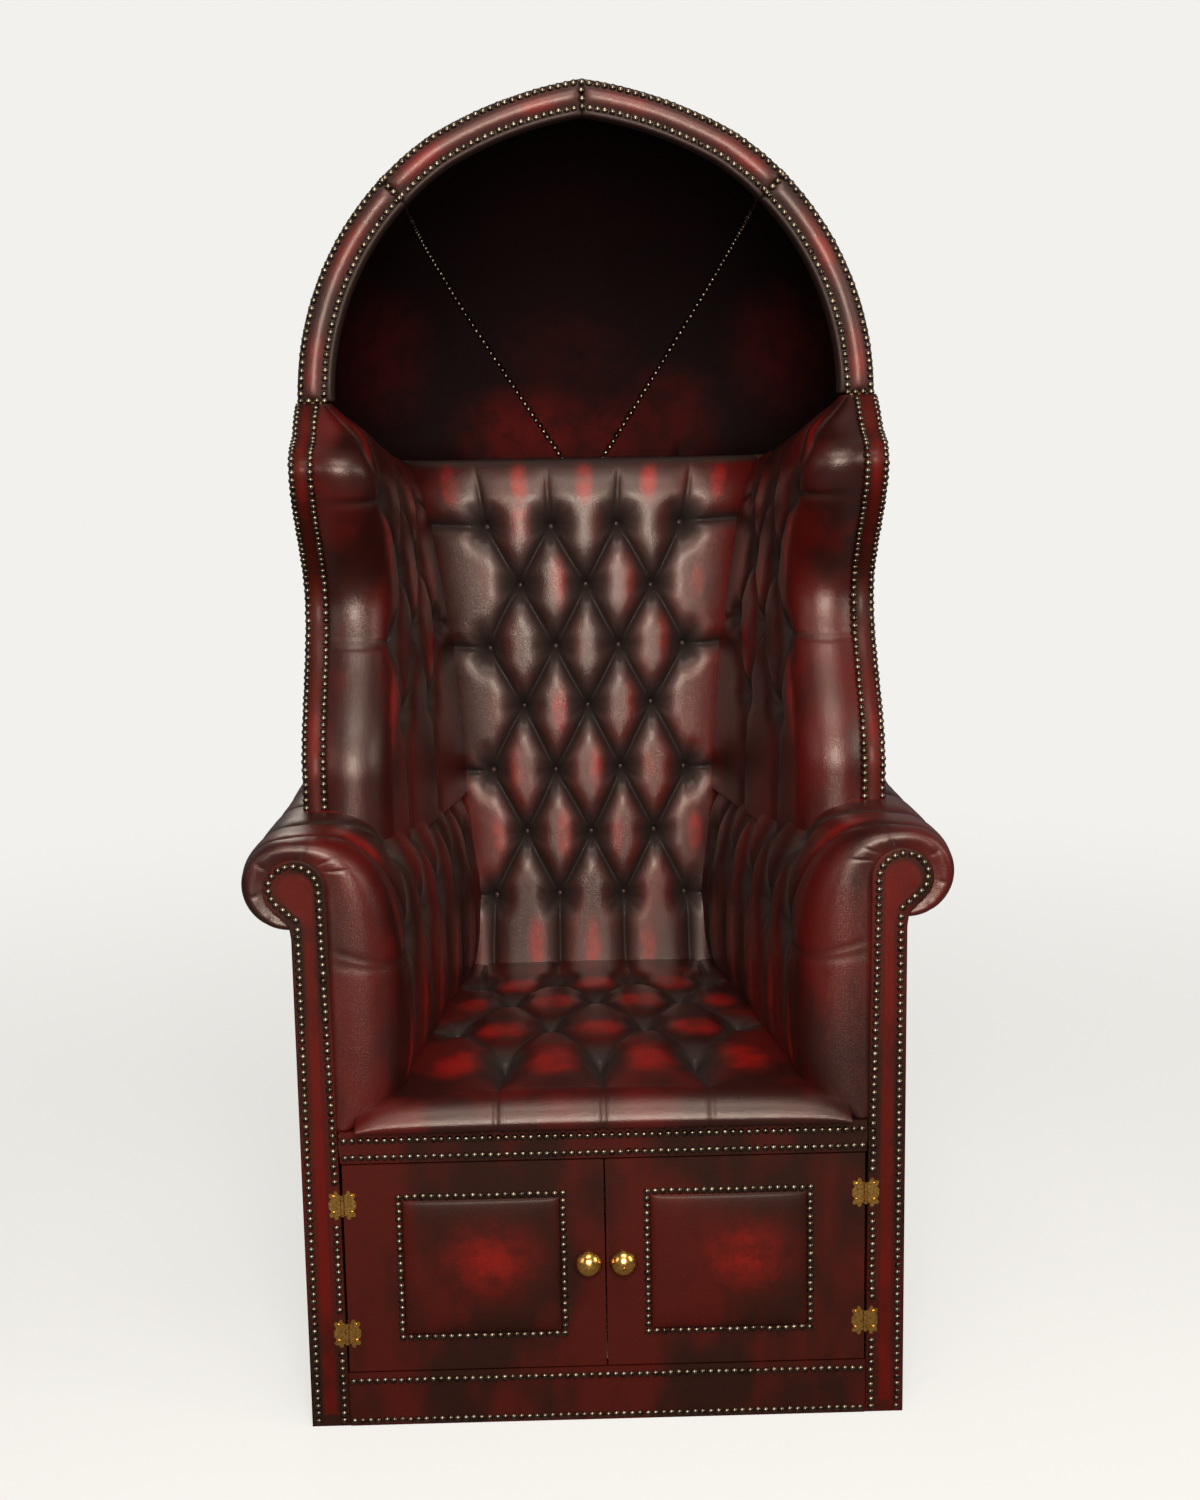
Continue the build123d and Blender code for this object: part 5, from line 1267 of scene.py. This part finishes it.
@dataclass
class ArmFacing:
    """The nailed leather board on an arm's front, with its round head inside the roll."""

    side: Side
    inner: float = 328.0
    outer: float = 376.0
    head_centre: Point = (370.0, 700.0)
    head_radius: float = 38.0
    hinge_heights: Point = (126.0, 297.0)
    nail_centre: Point = (372.0, 700.0)
    nail_radius: float = 31.0
    outer_nails: float = 368.0
    proud: float = 1.2

    def outline(self) -> list[Point]:
        """The board's outline in x and z."""
        cx, cz = self.head_centre
        turns = np.linspace(math.radians(186), math.radians(-28), 26)
        head = [(cx + self.head_radius * math.cos(turn), cz + self.head_radius * math.sin(turn)) for turn in turns]
        points = [(self.inner, 0.5), *head, (self.outer + 2, 655.0), (self.outer, 640.0), (self.outer, 0.5)]
        return [(self.side.value * x, z) for x, z in points]

    def by_hinge(self, spot: np.ndarray) -> bool:
        """Whether a nail's place is on the board's edge beside a hinge leaf."""
        return 326 < abs(spot[0]) < 346 and min(abs(spot[2] - z) for z in self.hinge_heights) < 25

    def build(self, nails: NailRows) -> None:
        """Makes the board's cover and adds its nails."""
        Strip(f"arm_front_{self.side.word}", 1.3, 21.5).build(self.outline(), f"arm_facing_{self.side.word}")
        sign, (cx, cz) = self.side.value, self.nail_centre
        around = [(cx + self.nail_radius * math.cos(turn), cz + self.nail_radius * math.sin(turn))
                  for turn in np.linspace(math.pi, math.radians(12), 30)]
        line = [(335.0, 8.0), (336.0, 400.0), (341.0, 690.0), *around, (398.0, 689.0), (386.0, 678.0), (370.0, 664.0)]
        nails.row([(sign * x, -self.proud, z) for x, z in line])
        nails.seats = [(spot, way) for spot, way in nails.seats if not self.by_hinge(spot)]
        nails.row([(sign * self.outer_nails, -self.proud, z) for z in (652.0, 8.0)])


@dataclass
class WingFacing:
    """The narrow nailed strip down a wing's front edge."""

    side: Side
    width: float = 30.0
    foot: float = 742.0
    nail_foot: float = 766.0
    nail_top: float = 1274.0
    crown: float = 3.2
    ear_low: tuple[float, float, float] = (350.0, 270.0, 1238.0)
    ear_high: tuple[float, float, float] = (375.8, 322.5, 1272.4)

    def ear_end(self, bm: bmesh.types.BMesh) -> None:
        """Adds the end of the leather that is turned over the ear, under the foot of the hood's rim."""
        low, high = (metres(np.array(corner)) for corner in (self.ear_low, self.ear_high))
        middle, spread = (low + high) / 2, high - low
        where = Matrix.Translation((self.side.value * middle[0], middle[1], middle[2]))
        bmesh.ops.create_cube(bm, size=1.0, matrix=where @ Matrix.Diagonal((*spread, 1.0)))

    def build(self, nails: NailRows) -> None:
        """Makes the strip as a thin crowned sheet and adds its two rows of nails."""
        heights = np.linspace(self.foot, FORM.seam_front - 1.0, 130)
        sign, outer = self.side.value, FORM.half_width

        def place(shares: np.ndarray, z: float) -> np.ndarray:
            """A row of points across the strip: crowned, and turned back at both edges."""
            crown = self.crown * np.sin(math.pi * np.clip((shares - 0.1) / 0.8, 0, 1)) ** 0.8
            x = outer - shares * self.width
            edge = 3.0 * (np.maximum(0, 1 - shares / 0.08) ** 2 + np.maximum(0, 1 - (1 - shares) / 0.08) ** 2)
            return np.stack([sign * x, FORM.wing_front(z) - crown + edge, np.full_like(x, z)], axis=1)

        sheet = Sheet.lay(np.linspace(0, 1, 17), heights, place, Vector((0, -1, 0)))
        middle, high = np.sin(math.pi * sheet.flat[..., 0]), sheet.flat[..., 1]
        sheet.rub = 0.20 + 0.60 * middle
        bright = 0.35 * np.exp(-((high - 1190) / 60) ** 2) + 0.4 * np.exp(-((high - 850) / 60) ** 2)
        sheet.glow = middle**3 * (0.12 + bright)
        bm = sheet.mesh()
        thicken(bm, bm.faces[:][0], Vector((0, -1, 0)), 6.0)
        self.ear_end(bm)
        bmesh.ops.recalc_face_normals(bm, faces=bm.faces)
        add_piece(bm, f"wing_front_{self.side.word}", (f"wing_facing_{self.side.word}",), finish=BOARD_LEATHER)

        def facing(spot: np.ndarray) -> np.ndarray:
            """The way the strip faces at a nail's place."""
            return np.array([0.0, -1.0, (FORM.wing_front(spot[2] + 1) - FORM.wing_front(spot[2] - 1)) / 2])

        for x in (outer - 3.6, outer - self.width + 3.4):
            nails.row([(sign * x, FORM.wing_front(z) - 0.6, z) for z in np.linspace(self.nail_foot, self.nail_top, 90)],
                      facing)


@dataclass
class HoodRim:
    """The hood's padded front edge in four lengths, nailed along both sides and across the joints."""

    width: float = 46.0
    joint_share: float = 0.513
    step: float = 4.0
    run: float = 820.0
    count: int = 500
    nail_insets: Point = (5.4, 35.6)
    profile: tuple[Point, ...] = ((0.0, -33.0), (0.0, -14.0), (0.6, -7.0), (2.6, -2.4), (5.5, -0.8), (8.5, 0.2),
                                  (12.0, 3.4), (17.0, 5.6), (22.0, 6.0), (27.0, 4.8), (31.5, 2.0), (34.5, -0.2),
                                  (37.0, -0.6), (39.0, 0.8), (41.2, 2.6), (43.8, 2.2), (45.8, -0.8), (46.0, -6.0),
                                  (46.0, -33.0))

    def line(self, inset: float) -> np.ndarray:
        """The arch's right half in x and z from the seam to the crown, moved inwards by inset."""
        shares = FORM.arch_shares(400)
        arch = np.stack([(FORM.half_width - inset) * shares[:, 0],
                         FORM.spring + (FORM.rise - inset) * shares[:, 1]], axis=1)
        return np.concatenate([[[FORM.half_width - inset, FORM.seam_front + 0.6]], arch])

    def joint(self) -> float:
        """The share of the whole run where the upper and lower lengths meet."""
        line = self.line(self.width / 2)
        angle = np.degrees(np.arctan2(line[:, 1] - FORM.spring, line[:, 0]))
        steps = run(line)
        return float(steps[int(np.argmax(angle > 90 * self.joint_share))] / steps[-1])

    def build(self, nails: NailRows) -> None:
        """Makes the four lengths and adds the nails."""
        joint = self.joint()
        rows = [resample(self.line(inset), self.count) for inset, _ in self.profile]
        for side in Side:
            self.length(side, "lower", 0.0, joint, rows)
            self.length(side, "upper", joint, 1.0, rows)
        across_joint = FORM.rim_front - 2.4
        for sign in (side.value for side in Side):
            for inset in self.nail_insets:
                nails.row([(sign * x, FORM.rim_front - 0.4, z) for x, z in self.line(inset)], skip_ends=True)
            for share in (joint, 0.004):
                ends = [resample(self.line(inset), self.count)[int(share * (self.count - 1))]
                        for inset in self.nail_insets]
                nails.row([(sign * x, across_joint, z) for x, z in ends])
        nails.row([(0, across_joint, FORM.spring + FORM.rise - inset) for inset in reversed(self.nail_insets)])

    def length(self, side: Side, part: str, start: float, end: float, rows: list[np.ndarray]) -> None:
        """Makes one padded length of the rim.

        Args:
            side: the side that it is on.
            part: its word in the names of pieces.
            start, end: its ends, as shares of the whole run.
            rows: the arch's line at each inset of the profile.
        """
        stations = np.linspace(start + 0.0008, end - 0.0008, round(self.run * (end - start) / self.step))

        def place(across: np.ndarray, share: float) -> np.ndarray:
            """The profile's points at one station, pinched in near the length's ends."""
            pinch = 1 - math.exp(-min(share - start, end - share) * self.run / 7.0)
            spot = share * (self.count - 1)
            low = int(min(self.count - 2, spot))
            found = []
            for line, (_, forward) in zip(rows, self.profile):
                x, z = line[low] + (line[low + 1] - line[low]) * (spot - low)
                forward = forward * pinch - 2.0 * (1 - pinch) if forward > -3 else forward
                found.append((side.value * x, FORM.rim_front - forward, z))
            return np.array(found)

        sheet = Sheet.lay(np.arange(len(self.profile), dtype=float), stations, place, Vector((0, -1, 0)))
        insets = np.array([inset for inset, _ in self.profile])
        band = np.exp(-(((insets - 21.0) / 9.0) ** 2))[None, :]
        near = np.minimum(stations - start, end - stations)[:, None] * self.run
        sheet.rub = 0.25 + 0.75 * band * (1 - np.exp(-near / 9.0))
        sheet.glow = 0.5 * band * (0.5 + 0.5 * np.sin(stations * 23.0)[:, None]) * (1 - np.exp(-near / 20.0))
        plane = FRONT_PLANE + (FORM.rim_back - 0.5) * MM
        sheet.pad(f"hood_rim_{part}_{side.word}", f"rim_roll_{part}_{side.word}",
                  lambda co: Vector((co.x, plane, co.z)), fill=0.8)


@dataclass
class HoodLining:
    """The lining inside the hood, dark with painted shade, cut in three panels with nailed seams."""

    inset: float = 21.0
    roundness: float = 2.2
    head_shares: Point = (0.606, 0.641)
    hub_drop: float = 100.0
    foot_share: float = 0.04
    arch_count: int = 40
    depth_count: int = 40
    leg_drop: float = 390.0
    rear_marks: tuple[tuple[float, ...], ...] = ((-78, 1228, 120, 70, 0.62), (40, 1215, 80, 60, 0.45),
                                                 (130, 1245, 90, 80, 0.35), (-20, 1330, 120, 90, 0.12))

    def dome(self, inset: float) -> bmesh.types.BMesh:
        """The whole dome inside the hood as one sheet, from below one seam, over, and down to the other."""
        shares = resample(FORM.arch_shares(60), self.arch_count)
        legs = np.array([[1.0, depth] for depth in (-0.55, -0.36, -0.18)])
        half_line = np.concatenate([legs, shares])
        whole = np.concatenate([half_line, (half_line * np.array([-1, 1]))[::-1][1:]])
        turns = np.linspace(0, math.pi / 2, self.depth_count)
        along = np.concatenate([turns, math.pi / 2 + np.linspace(0.06, 1.0, 14)])
        power = 2 / self.roundness

        def place(across: np.ndarray, turn: float) -> np.ndarray:
            """One arch of the dome: back over its depth, then shrunk to close the rear."""
            angle = min(turn, math.pi / 2)
            depth = FORM.depth - FORM.rim_back - inset
            y = FORM.rim_back - 3 + (depth + 3) * math.sin(angle) ** power
            rise = FORM.back_rise - inset + (FORM.rise - FORM.back_rise) * max(0.0, math.cos(angle)) ** power
            wide, tall = whole[np.round(across).astype(int)].T
            x = FORM.plan_half(y, inset) * wide
            z = FORM.spring + np.where(tall >= 0, rise * tall, self.leg_drop * tall)
            shrink = 1 - max(0.0, turn - math.pi / 2)
            centre = FORM.seam(y) - 190.0
            return np.stack([x * shrink, np.full_like(x, y), centre + (z - centre) * shrink], axis=1)

        sheet = Sheet.lay(np.arange(len(whole), dtype=float), along, place, Vector((0, 0, -1)))
        x, y, z = np.moveaxis(sheet.points, 2, 0)
        sheet.rub = np.full(z.shape, 0.7)
        rear = smooth((y - 560) / 120)
        for spot, height, wide, tall, strength in self.rear_marks:
            sheet.glow = np.maximum(sheet.glow, strength * cup(spot, height, x, z, wide, tall) * rear)
        for sign in (-1, 1):
            sheet.glow = np.maximum(sheet.glow, 0.20 * cup(sign * 300, 1345, x, z, 90.0, 100.0))
        bm = sheet.mesh()
        bmesh.ops.remove_doubles(bm, verts=bm.verts, dist=0.5 * MM)
        # The dome ends at the seam between hood and body.
        low = Vector(metres(np.array([0, FORM.rim_front, FORM.seam_front + 1.0])))
        slope = (FORM.seam_front - FORM.seam_back) / (FORM.depth - FORM.rim_front)
        cut_away(bm, low, Vector((0, slope, 1)), clear_inner=True)
        return bm

    def cover(self) -> None:
        """Makes the leather over the hood's outside, smooth where the solid has ruled bands."""
        bm = self.dome(0.0)
        cut_away(bm, Vector(metres(np.array([0.0, FORM.rim_back, 0.0]))), Vector((0, 1, 0)), clear_inner=True)
        for name in ("rub", "glow"):
            layer = bm.verts.layers.float[name]
            for vert in bm.verts:
                vert[layer] = 0.0
        thicken(bm, max(bm.faces, key=lambda each: each.calc_center_median().z), Vector((0, 0, 1)), 2.6)
        bmesh.ops.recalc_face_normals(bm, faces=bm.faces)
        add_piece(bm, "hood_leather", ("hood_cover",), finish=BOARD_LEATHER)

    def seam_plane(self, sign: int) -> tuple[Vector, Vector]:
        """A lining seam's plane, as a point and a direction that faces its own side."""
        hub = Vector((0, FORM.rim_back, FORM.spring - self.hub_drop))
        out, up = self.head_shares
        rim = Vector((sign * FORM.half_width * out, FORM.rim_back, FORM.spring + FORM.rise * up))
        foot = Vector((sign * FORM.half_width * self.foot_share, FORM.depth - 26.0, FORM.seam_back))
        normal = (rim - hub).cross(foot - hub).normalized()
        if normal.x * sign < 0:
            normal = -normal
        return Vector(metres(np.array(hub))), normal

    def build(self, nails: NailRows) -> None:
        """Cuts the dome into the three panels and nails the seams."""
        for panel, keep in {"left": -1, "centre": 0, "right": 1}.items():
            bm = self.dome(self.inset)
            for sign in (-1, 1):
                if keep == -sign:
                    continue
                spots = cut_away(bm, *self.seam_plane(sign), clear_inner=keep == sign, clear_outer=keep == 0)
                if keep == 0:
                    self.nail_seam(spots, sign, nails)
            middle = max(bm.faces, key=lambda each: each.calc_area())
            inner = Vector((0, FRONT_PLANE + 400 * MM, 1.35))
            thicken(bm, middle, inner - middle.calc_center_median(), 4.0)
            bmesh.ops.recalc_face_normals(bm, faces=bm.faces)
            add_piece(bm, f"hood_lining_panel_{panel}", (f"hood_lining_{panel}",),
                      finish="hood_lining_leather")

    def nail_seam(self, spots: list[Vector], sign: int, nails: NailRows) -> None:
        """Nails one of the lining's seams.

        Args:
            spots: the points where the seam's plane cut the dome, in row frame metres.
            sign: the seam's side.
            nails: the rows that it is added to.
        """
        above = [spot for spot in spots if spot.x * sign > 8 * MM and spot.z > FORM.seam(400) * MM - 0.12]
        above.sort(key=lambda spot: -spot.x * sign)
        centre = np.array([0.0, 430.0, 1330.0])
        seated = []
        for spot in above:
            place = np.array((spot.x / MM, (spot.y - FRONT_PLANE) / MM, spot.z / MM))
            if place[1] > FORM.rim_back + 4:
                seated.append(place + (centre - place) / np.linalg.norm(centre - place) * 0.8)
        nails.row(seated, lambda place: centre - place)


@dataclass
class Door:
    """A cupboard door's soft parts: the raised pad and its frame of nails."""

    side: Side
    centre: Point = (155.0, 212.0)
    nail_size: Point = (205.0, 187.0)
    crown: float = 8.0

    def build(self) -> None:
        """Makes the pad and the nails round it."""
        sign = self.side.value
        cx, cz = self.centre
        wide, tall = self.nail_size[0] / 2 - 3.5, self.nail_size[1] / 2 - 3.5

        def place(shares: np.ndarray, up: float) -> np.ndarray:
            """A row of points on the cushion, whose edge falls to the door."""
            edge = (1 - np.abs(shares) ** 10) * (1 - abs(up) ** 10)
            dome = 0.72 + 0.28 * (1 - shares**2) * (1 - up**2)
            lift = self.crown * np.sqrt(np.clip(edge, 0, 1)) * dome
            return np.stack([sign * cx + shares * wide, -0.4 - lift, np.full_like(shares, cz + up * tall)], axis=1)

        sheet = Sheet.lay(np.linspace(-1, 1, 76), np.linspace(-1, 1, 70), place, Vector((0, -1, 0)))
        x, z = sheet.flat[..., 0], sheet.flat[..., 1]
        sheet.rub = 0.25 + 0.5 * (1 - np.maximum(np.abs(x), np.abs(z)) ** 6)
        sheet.glow = 0.75 * np.exp(-((x - 0.14 - 0.04 * sign) / 0.52) ** 2 - ((z - 0.10) / 0.46) ** 2)
        plane, body = FRONT_PLANE - 0.2 * MM, f"door_{self.side.word}"
        sheet.pad(f"raised_door_pad_{self.side.word}", f"door_pad_{self.side.word}",
                  lambda co: Vector((co.x, plane, co.z)), body, BOARD_LEATHER)
        nails = NailRows(f"door_nails_{self.side.word}", body)
        half_w, half_h = self.nail_size[0] / 2, self.nail_size[1] / 2
        corners = [(sign * cx + dx * half_w, -0.6, cz + dz * half_h)
                   for dx, dz in ((-1, -1), (1, -1), (1, 1), (-1, 1), (-1, -1))]
        for start, end in zip(corners, corners[1:]):
            places = even(np.array([start, end]), nails.pitch)[:-1]
            nails.seats += [(spot, np.array([0.0, -1.0, 0.0])) for spot in places]
        nails.build()


@dataclass
class Rails:
    """The nails on the seat rail and the plinth."""

    half: float = 322.0
    heights: tuple[float, ...] = (380.5, 358.5, 61.0, 7.0)

    def build(self, nails: NailRows) -> None:
        """Adds the four level rows."""
        for z in self.heights:
            nails.row([(-self.half, -1.0, z), (self.half, -1.0, z)])


def build_chair() -> None:
    """Builds every sub-assembly in order, from the floor up."""
    nails = NailRows("frame_nails", "chair")
    Rails().build(nails)
    for side in Side:
        Door(side).build()
        ArmFacing(side).build(nails)
        WingFacing(side).build(nails)
    SeatPad().build()
    BackPad().build()
    side_places = []
    for side in Side:
        side_places += ArmPad(side).build()
        side_places += WingPad(side).build()
    add_buttons(side_places, "side_covered_buttons", "side_buttons")
    HoodLining().build(nails)
    HoodLining().cover()
    HoodRim().build(nails)
    nails.build()


def dress_frame() -> None:
    """Gives every CAD node that stays its own finish."""
    for part in frame["record"]["subparts"]:
        finish = BOARD_LEATHER if part["material_slot"] == LEATHER else part["material_slot"]
        FINISHES.dress(part["node"], finish)


@dataclass(frozen=True)
class Lamp:
    """A soft box that the camera doesn't see: its place and target in metres, its size, and its power in watts."""

    name: str
    stand: tuple[float, float, float]
    target: tuple[float, float, float]
    size: Point
    watts: float
    tint: str = "#FFF4E6"

    def build(self) -> None:
        """Adds the lamp, turned to its target."""
        data = bpy.data.lights.new(self.name, "AREA")
        data.shape = "RECTANGLE"
        data.size, data.size_y = self.size
        data.energy = self.watts
        data.color = linear(self.tint)[:3]
        lamp = bpy.data.objects.new(self.name, data)
        lamp.visible_camera = False
        way = Vector(self.target) - Vector(self.stand)
        lamp.matrix_world = Matrix.Translation(Vector(self.stand)) @ way.to_track_quat("-Z", "Y").to_matrix().to_4x4()
        bpy.context.scene.collection.objects.link(lamp)


LAMPS = (Lamp("key_soft_box", (0.05, -3.5, 1.70), (0.0, 0.0, 0.95), (1.2, 1.3), 178.0),
         Lamp("side_soft_box", (2.7, -1.6, 1.9), (0.0, 0.1, 0.7), (1.0, 1.4), 33.0),
         Lamp("left_soft_box", (-2.5, -2.0, 1.8), (0.0, 0.1, 0.8), (1.0, 1.4), 12.0),
         Lamp("rear_soft_box", (-0.6, 3.2, 2.6), (0.0, 0.2, 0.9), (1.6, 1.2), 30.0),
         Lamp("top_soft_box", (0.1, -1.6, 3.0), (0.0, 0.0, 0.45), (1.4, 0.7), 42.0))


@dataclass
class Studio:
    """A pale floor without an edge, soft lamps, and the camera of the photograph."""

    backdrop: str = "#F2F1ED"
    shade: str = "#EBE5DC"
    shade_strength: float = 0.17
    grey_paint: str = "#45423F"
    pale_paint: str = "#E4E7EA"
    mirrored: float = 0.13
    camera_at: tuple[float, float, float] = (-0.0493, -2.8194, 1.3141)
    yaw: float = 0.02148
    pitch: float = -0.18032
    roll: float = -0.016687
    focal_px: float = 2079.5
    image_height_px: float = 1500.0

    def build(self) -> None:
        """Sets the camera, the lamps, the floor and the world."""
        self.camera()
        self.floor()
        self.world()
        for lamp in LAMPS:
            lamp.build()
        bpy.context.scene.view_settings.view_transform = "Standard"

    def camera(self) -> None:
        """Puts the camera where the photograph was taken from."""
        level = Vector((math.cos(self.yaw), -math.sin(self.yaw), 0.0))
        ahead = Vector((math.sin(self.yaw) * math.cos(self.pitch), math.cos(self.yaw) * math.cos(self.pitch),
                        math.sin(self.pitch)))
        upright = level.cross(ahead)
        right = level * math.cos(self.roll) + upright * math.sin(self.roll)
        up = upright * math.cos(self.roll) - level * math.sin(self.roll)
        data = bpy.data.cameras.new("camera")
        data.sensor_fit = "VERTICAL"
        data.sensor_height = 36.0
        data.lens = self.focal_px / self.image_height_px * data.sensor_height
        camera = bpy.data.objects.new("camera", data)
        turn = Matrix((right, up, -ahead)).transposed().to_4x4()
        camera.matrix_world = Matrix.Translation(Vector(self.camera_at)) @ turn
        bpy.context.scene.collection.objects.link(camera)
        bpy.context.scene.camera = camera

    def floor(self) -> None:
        """Lays a round floor whose own shade fades into the backdrop's colour away from the chair."""
        bm = bmesh.new()
        bmesh.ops.create_circle(bm, cap_ends=True, segments=96, radius=60.0)
        mesh = bpy.data.meshes.new("studio_floor")
        bm.to_mesh(mesh)
        bm.free()
        floor = bpy.data.objects.new("studio_floor", mesh)
        bpy.context.scene.collection.objects.link(floor)
        material = bpy.data.materials.new("painted_studio_floor")
        material.use_nodes = True
        tree = material.node_tree
        tree.nodes.clear()
        place = add_node(tree, "ShaderNodeTexCoord").outputs["Object"]
        reach = add_node(tree, "ShaderNodeVectorMath", {"operation": "LENGTH"}, {0: place}).outputs["Value"]
        far = ramp(tree, maths(tree, "DIVIDE", reach, 4.0), ((0.2, 0.72), (0.9, 1.0)), "EASE")
        seen = add_node(tree, "ShaderNodeLightPath")
        fade = maths(tree, "MULTIPLY", far, seen.outputs["Is Camera Ray"])
        # The camera, metal and glass see the pale paint; the light that bounces up is that of a grey floor.
        shown = self.shown_share(tree, seen)
        paint = mix(tree, shown, linear(self.grey_paint), linear(self.pale_paint))
        painted = add_node(tree, "ShaderNodeBsdfDiffuse", inputs={"Color": paint}).outputs[0]
        even_tone = add_node(tree, "ShaderNodeEmission", inputs={"Color": linear(self.backdrop), "Strength": 1.0})
        mixed = add_node(tree, "ShaderNodeMixShader", inputs={0: fade, 1: painted, 2: even_tone.outputs[0]})
        add_node(tree, "ShaderNodeOutputMaterial", inputs={"Surface": mixed.outputs[0]})
        mesh.materials.append(material)

    def shown_share(self, tree: Tree, path: bpy.types.Node) -> Socket:
        """How far a ray sees the pale backdrop: camera and see-through rays wholly, mirrored rays in part."""
        mirrored = maths(tree, "MULTIPLY", path.outputs["Is Glossy Ray"], self.mirrored)
        direct = maths(tree, "MAXIMUM", path.outputs["Is Camera Ray"], path.outputs["Is Transmission Ray"])
        return maths(tree, "MAXIMUM", direct, mirrored)

    def world(self) -> None:
        """Shows the backdrop's colour to the camera and in reflections, and lights the rest softly."""
        world = bpy.data.worlds.new("studio_world")
        bpy.context.scene.world = world
        world.use_nodes = True
        tree = world.node_tree
        tree.nodes.clear()
        path = add_node(tree, "ShaderNodeLightPath")
        shown = add_node(tree, "ShaderNodeBackground", inputs={"Color": linear(self.backdrop), "Strength": 1.0})
        soft = add_node(tree, "ShaderNodeBackground", inputs={
            "Color": linear(self.shade), "Strength": self.shade_strength})
        mixed = add_node(tree, "ShaderNodeMixShader", inputs={0: self.shown_share(tree, path), 1: soft.outputs[0],
                         2: shown.outputs[0]})
        add_node(tree, "ShaderNodeOutputWorld", inputs={"Surface": mixed.outputs[0]})


def main() -> None:
    """Builds the chair's looks, then the studio."""
    logging.basicConfig(level=logging.INFO, format="%(name)s %(message)s")
    FINISHES.build()
    dress_frame()
    build_chair()
    Studio().build()


if __name__ == "__main__":
    main()
